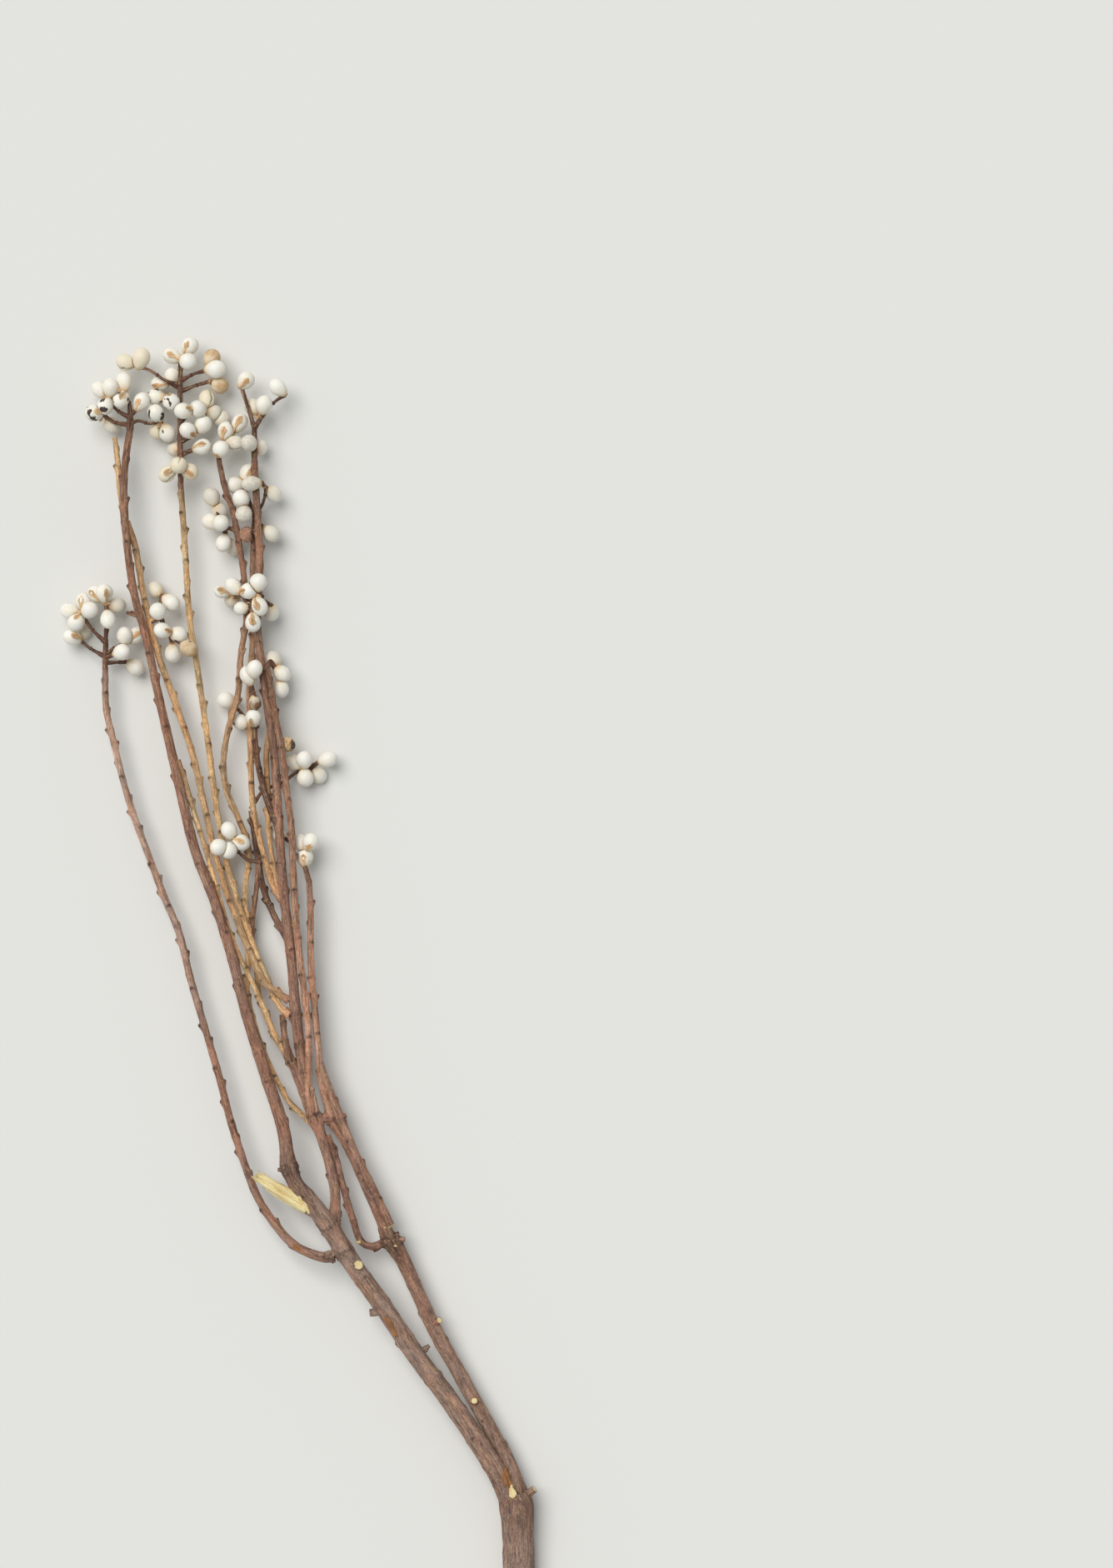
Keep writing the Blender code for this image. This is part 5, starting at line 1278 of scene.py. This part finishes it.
def draw_wax_effect(tree, given):
    """Waxy seed coat: soft mottling, brown flecks, a cream and tawny foot that is partly the seed's own
    colour and partly painted shade where the seeds crowd at the hub, and dark worn patches.
    """
    place, wax, wear = given["Place"], given["Tint"], given["Wear"]
    cream, husk = paint("cream"), paint("husk")
    clouds = grain(tree, place, 0.33, 3.0, 0.5, 0.3)
    flecks = grain(tree, place, 1.5, 4.0, 0.7)
    pits = grain(tree, place, 4.2, 2.0, 0.5)
    cloudy = blend(tree, step_up(tree, clouds, 0.42, 0.66), wax, blend(tree, 0.45, wax, cream))
    spotted = blend(tree, times(tree, step_up(tree, flecks, 0.6, 0.7), 0.55), cloudy, husk)
    mottle = times(tree, step_up(tree, wear, 0.05, 0.18),
                   step_up(tree, grain(tree, place, 0.8, 3.0, 0.6), 0.46, 0.6))
    mottled = blend(tree, times(tree, mottle, 0.22), spotted, paint("grey"))
    # Painted shade mixed with the seed's own colour: the foot turns cream, then tawny, where the seeds
    # crowd at the hub
    graded = weighted(tree, (given["Foot"], 1.0), (clouds, 0.3))
    creamy = blend(tree, times(tree, step_up(tree, graded, 0.6, 1.0), 0.7), mottled, cream)
    foot_tint_and_shade = blend(tree, times(tree, step_up(tree, graded, 0.9, 1.14), 0.85), creamy, husk)
    bare = blend(tree, step_up(tree, flecks, 0.52, 0.7), paint("kernel"), paint("husk_dark"))
    return {"Color": blend(tree, step_up(tree, wear, 0.25, 0.6), foot_tint_and_shade, bare),
            "Height": weighted(tree, (clouds, 0.5), (pits, 0.2)),
            "Roughness": ranged(tree, flecks, 0.35, 0.65, 0.42, 0.6)}


def start_material(name):
    """Makes an empty material and returns it with its tree."""
    material = bpy.data.materials.new(name)
    material.use_nodes = True
    material.node_tree.nodes.clear()
    return material, material.node_tree


def finish_material(tree, inputs):
    """Adds the shader with its inputs, and the output that it goes to."""
    shader = add_node(tree, "ShaderNodeBsdfPrincipled", inputs)
    add_node(tree, "ShaderNodeOutputMaterial", {"Surface": shader.outputs[0]})


def read_layer(tree, name, label):
    """Reads one of a piece's layers, for the group's input with this label."""
    made = add_node(tree, "ShaderNodeAttribute", attribute_name=name, attribute_type="GEOMETRY")
    return made.outputs[SOCKET_KINDS.get(label, "Fac")]


def surfaced(name, effect, given, depth, shine):
    """Finds a material, or makes it of an effect group: what the group is given, as the name of a layer
    or a value, the depth of its relief in millimetres, and the shader's own values."""
    found = bpy.data.materials.get(name)
    if found:
        return found
    material, tree = start_material(name)
    inputs = {label: read_layer(tree, value, label) if isinstance(value, str) else value
              for label, value in given.items()}
    group = add_node(tree, "ShaderNodeGroup", inputs, node_tree=effect)
    made = {socket.name: socket for socket in group.outputs}
    bump = add_node(tree, "ShaderNodeBump",
                    {"Height": made.pop("Height"), "Distance": depth * MM, "Strength": 1.0})
    finish_material(tree, {"Base Color": made.pop("Color"), "Normal": bump.outputs[0], **made, **shine})
    return material


def bark_like(name, age, depth, specular):
    """A material with the bark's surface, more or less fissured."""
    effect = effect_group("bark_surface", ("Place", "Tone", "Age"), ("Color", "Height", "Roughness"),
                          draw_bark_effect)
    return surfaced(name, effect, {"Place": "bark_place", "Tone": "bark_tone", "Age": age}, depth,
                    {"Specular IOR Level": specular})


def bark_material():
    return bark_like("weathered_bark", 0.95, 0.9, 0.35)


def husk_material():
    return bark_like("papery_husk", 0.3, 0.25, 0.4)


def fibre_like(name, light, dark, depth):
    """A material of bare fibrous wood between two colours."""
    effect = effect_group("fibre_surface", ("Place", "Light", "Dark"), ("Color", "Height"),
                          draw_fibre_effect)
    return surfaced(name, effect, {"Place": "bark_place", "Light": paint(light), "Dark": paint(dark)},
                    depth, {"Roughness": 0.75})


def cut_wood_material():
    return fibre_like("bare_wood", "wood", "heart", 0.5)


def torn_material():
    return fibre_like("inner_bark", "torn", "capsule", 0.8)


def seed_material():
    effect = effect_group("wax_surface", ("Place", "Tint", "Foot", "Wear"),
                          ("Color", "Height", "Roughness"), draw_wax_effect)
    return surfaced("tallow_wax", effect,
                    {"Place": "seed_place", "Tint": "seed_tint", "Foot": "seed_foot", "Wear": "seed_wear"},
                    0.25, {"Specular IOR Level": 0.4, "Subsurface Weight": 0.12,
                           "Subsurface Scale": 0.0012})


def floor_material():
    material, tree = start_material("pale_floor")
    finish_material(tree, {"Base Color": paint("floor"), "Roughness": 0.9})
    return material


def lay_floor():
    """The plain pale floor that the stem lies on."""
    bm = bmesh.new()
    bmesh.ops.create_grid(bm, x_segments=1, y_segments=1, size=FLOOR_REACH)
    mesh = bpy.data.meshes.new("floor")
    bm.to_mesh(mesh)
    bm.free()
    mesh.materials.append(floor_material())
    floor = bpy.data.objects.new("floor", mesh)
    bpy.context.scene.collection.objects.link(floor)


def set_light():
    """A soft light from the upper left of the picture, and a pale surrounding."""
    light = bpy.data.lights.new("soft_window", "SUN")
    light.angle = SUN_SPREAD
    light.energy = SUN_POWER
    light.color = SUN_TINT
    lamp = bpy.data.objects.new("soft_window", light)
    lamp.rotation_euler = Vector(SUN_WAY).to_track_quat("-Z", "Y").to_euler()
    bpy.context.scene.collection.objects.link(lamp)
    world = bpy.data.worlds.new("pale_room")
    world.use_nodes = True
    background = world.node_tree.nodes["Background"]
    background.inputs["Color"].default_value = ROOM_TINT
    background.inputs["Strength"].default_value = ROOM_LIGHT
    bpy.context.scene.world = world


def set_camera():
    """A camera straight above the middle of the photograph's view, with the trunk at its bottom."""
    lens = bpy.data.cameras.new("view_from_above")
    height = sizes().camera_height
    lens.sensor_fit = "AUTO"
    lens.sensor_width = SENSOR_WIDTH
    lens.lens = SENSOR_WIDTH * (height - VIEWED_LEVEL) / sizes().frame_height
    lens.clip_start, lens.clip_end = 0.05, 20.0
    camera = bpy.data.objects.new("view_from_above", lens)
    camera.location = (VIEW_CENTRE[0], VIEW_CENTRE[1], height)
    bpy.context.scene.collection.objects.link(camera)
    bpy.context.scene.camera = camera
    bpy.context.scene.view_settings.view_transform = "Standard"


class TallowWood(bpy.types.Operator):
    """Grow the trunk, the branches and the twigs, with their scars, cuts and the split stub"""
    bl_idname = "tallow.wood"
    bl_label = "Woody stem"

    def execute(self, context):
        wood_piece()
        return {"FINISHED"}


class TallowTears(bpy.types.Operator):
    """Lay the spots of torn bark and bare wood on the stem"""
    bl_idname = "tallow.tears"
    bl_label = "Torn bark"

    def execute(self, context):
        torn_pieces()
        return {"FINISHED"}


class TallowStalks(bpy.types.Operator):
    """Grow the dark stalks of every spray"""
    bl_idname = "tallow.stalks"
    bl_label = "Stalks"

    def execute(self, context):
        for name in SPRAYS:
            stalk_piece(name)
        return {"FINISHED"}


class TallowSeeds(bpy.types.Operator):
    """Set the waxy seeds of every spray"""
    bl_idname = "tallow.seeds"
    bl_label = "Seeds"

    def execute(self, context):
        for name in SPRAYS:
            seed_piece(name)
        return {"FINISHED"}


class TallowHusks(bpy.types.Operator):
    """Add the cores, strips and fibres that are left of the husks"""
    bl_idname = "tallow.husks"
    bl_label = "Husks"

    def execute(self, context):
        for name in SPRAYS:
            husk_piece(name)
        return {"FINISHED"}


class TallowStage(bpy.types.Operator):
    """Lay the pale floor and set the light and the camera"""
    bl_idname = "tallow.stage"
    bl_label = "Stage"

    def execute(self, context):
        lay_floor()
        set_light()
        set_camera()
        return {"FINISHED"}


class TallowPanel(bpy.types.Panel):
    """The stem's steps in the sidebar of the 3D view"""
    bl_idname = "TALLOW_PT_steps"
    bl_label = "Tallow berry stem"
    bl_space_type = "VIEW_3D"
    bl_region_type = "UI"
    bl_category = "Tallow"

    def draw(self, context):
        for step in STEPS:
            self.layout.operator(step.bl_idname)


STEPS = (TallowWood, TallowTears, TallowStalks, TallowSeeds, TallowHusks, TallowStage)
CLASSES = (TallowSizes, TallowColours, *STEPS, TallowPanel)


def register():
    for cls in CLASSES:
        bpy.utils.register_class(cls)
    bpy.types.Scene.tallow_sizes = PointerProperty(type=TallowSizes)
    bpy.types.Scene.tallow_colours = PointerProperty(type=TallowColours)


def unregister():
    del bpy.types.Scene.tallow_colours
    del bpy.types.Scene.tallow_sizes
    for cls in reversed(CLASSES):
        bpy.utils.unregister_class(cls)


def main():
    register()
    bpy.ops.tallow.wood()
    bpy.ops.tallow.tears()
    bpy.ops.tallow.stalks()
    bpy.ops.tallow.seeds()
    bpy.ops.tallow.husks()
    bpy.ops.tallow.stage()


if __name__ == "__main__":
    main()
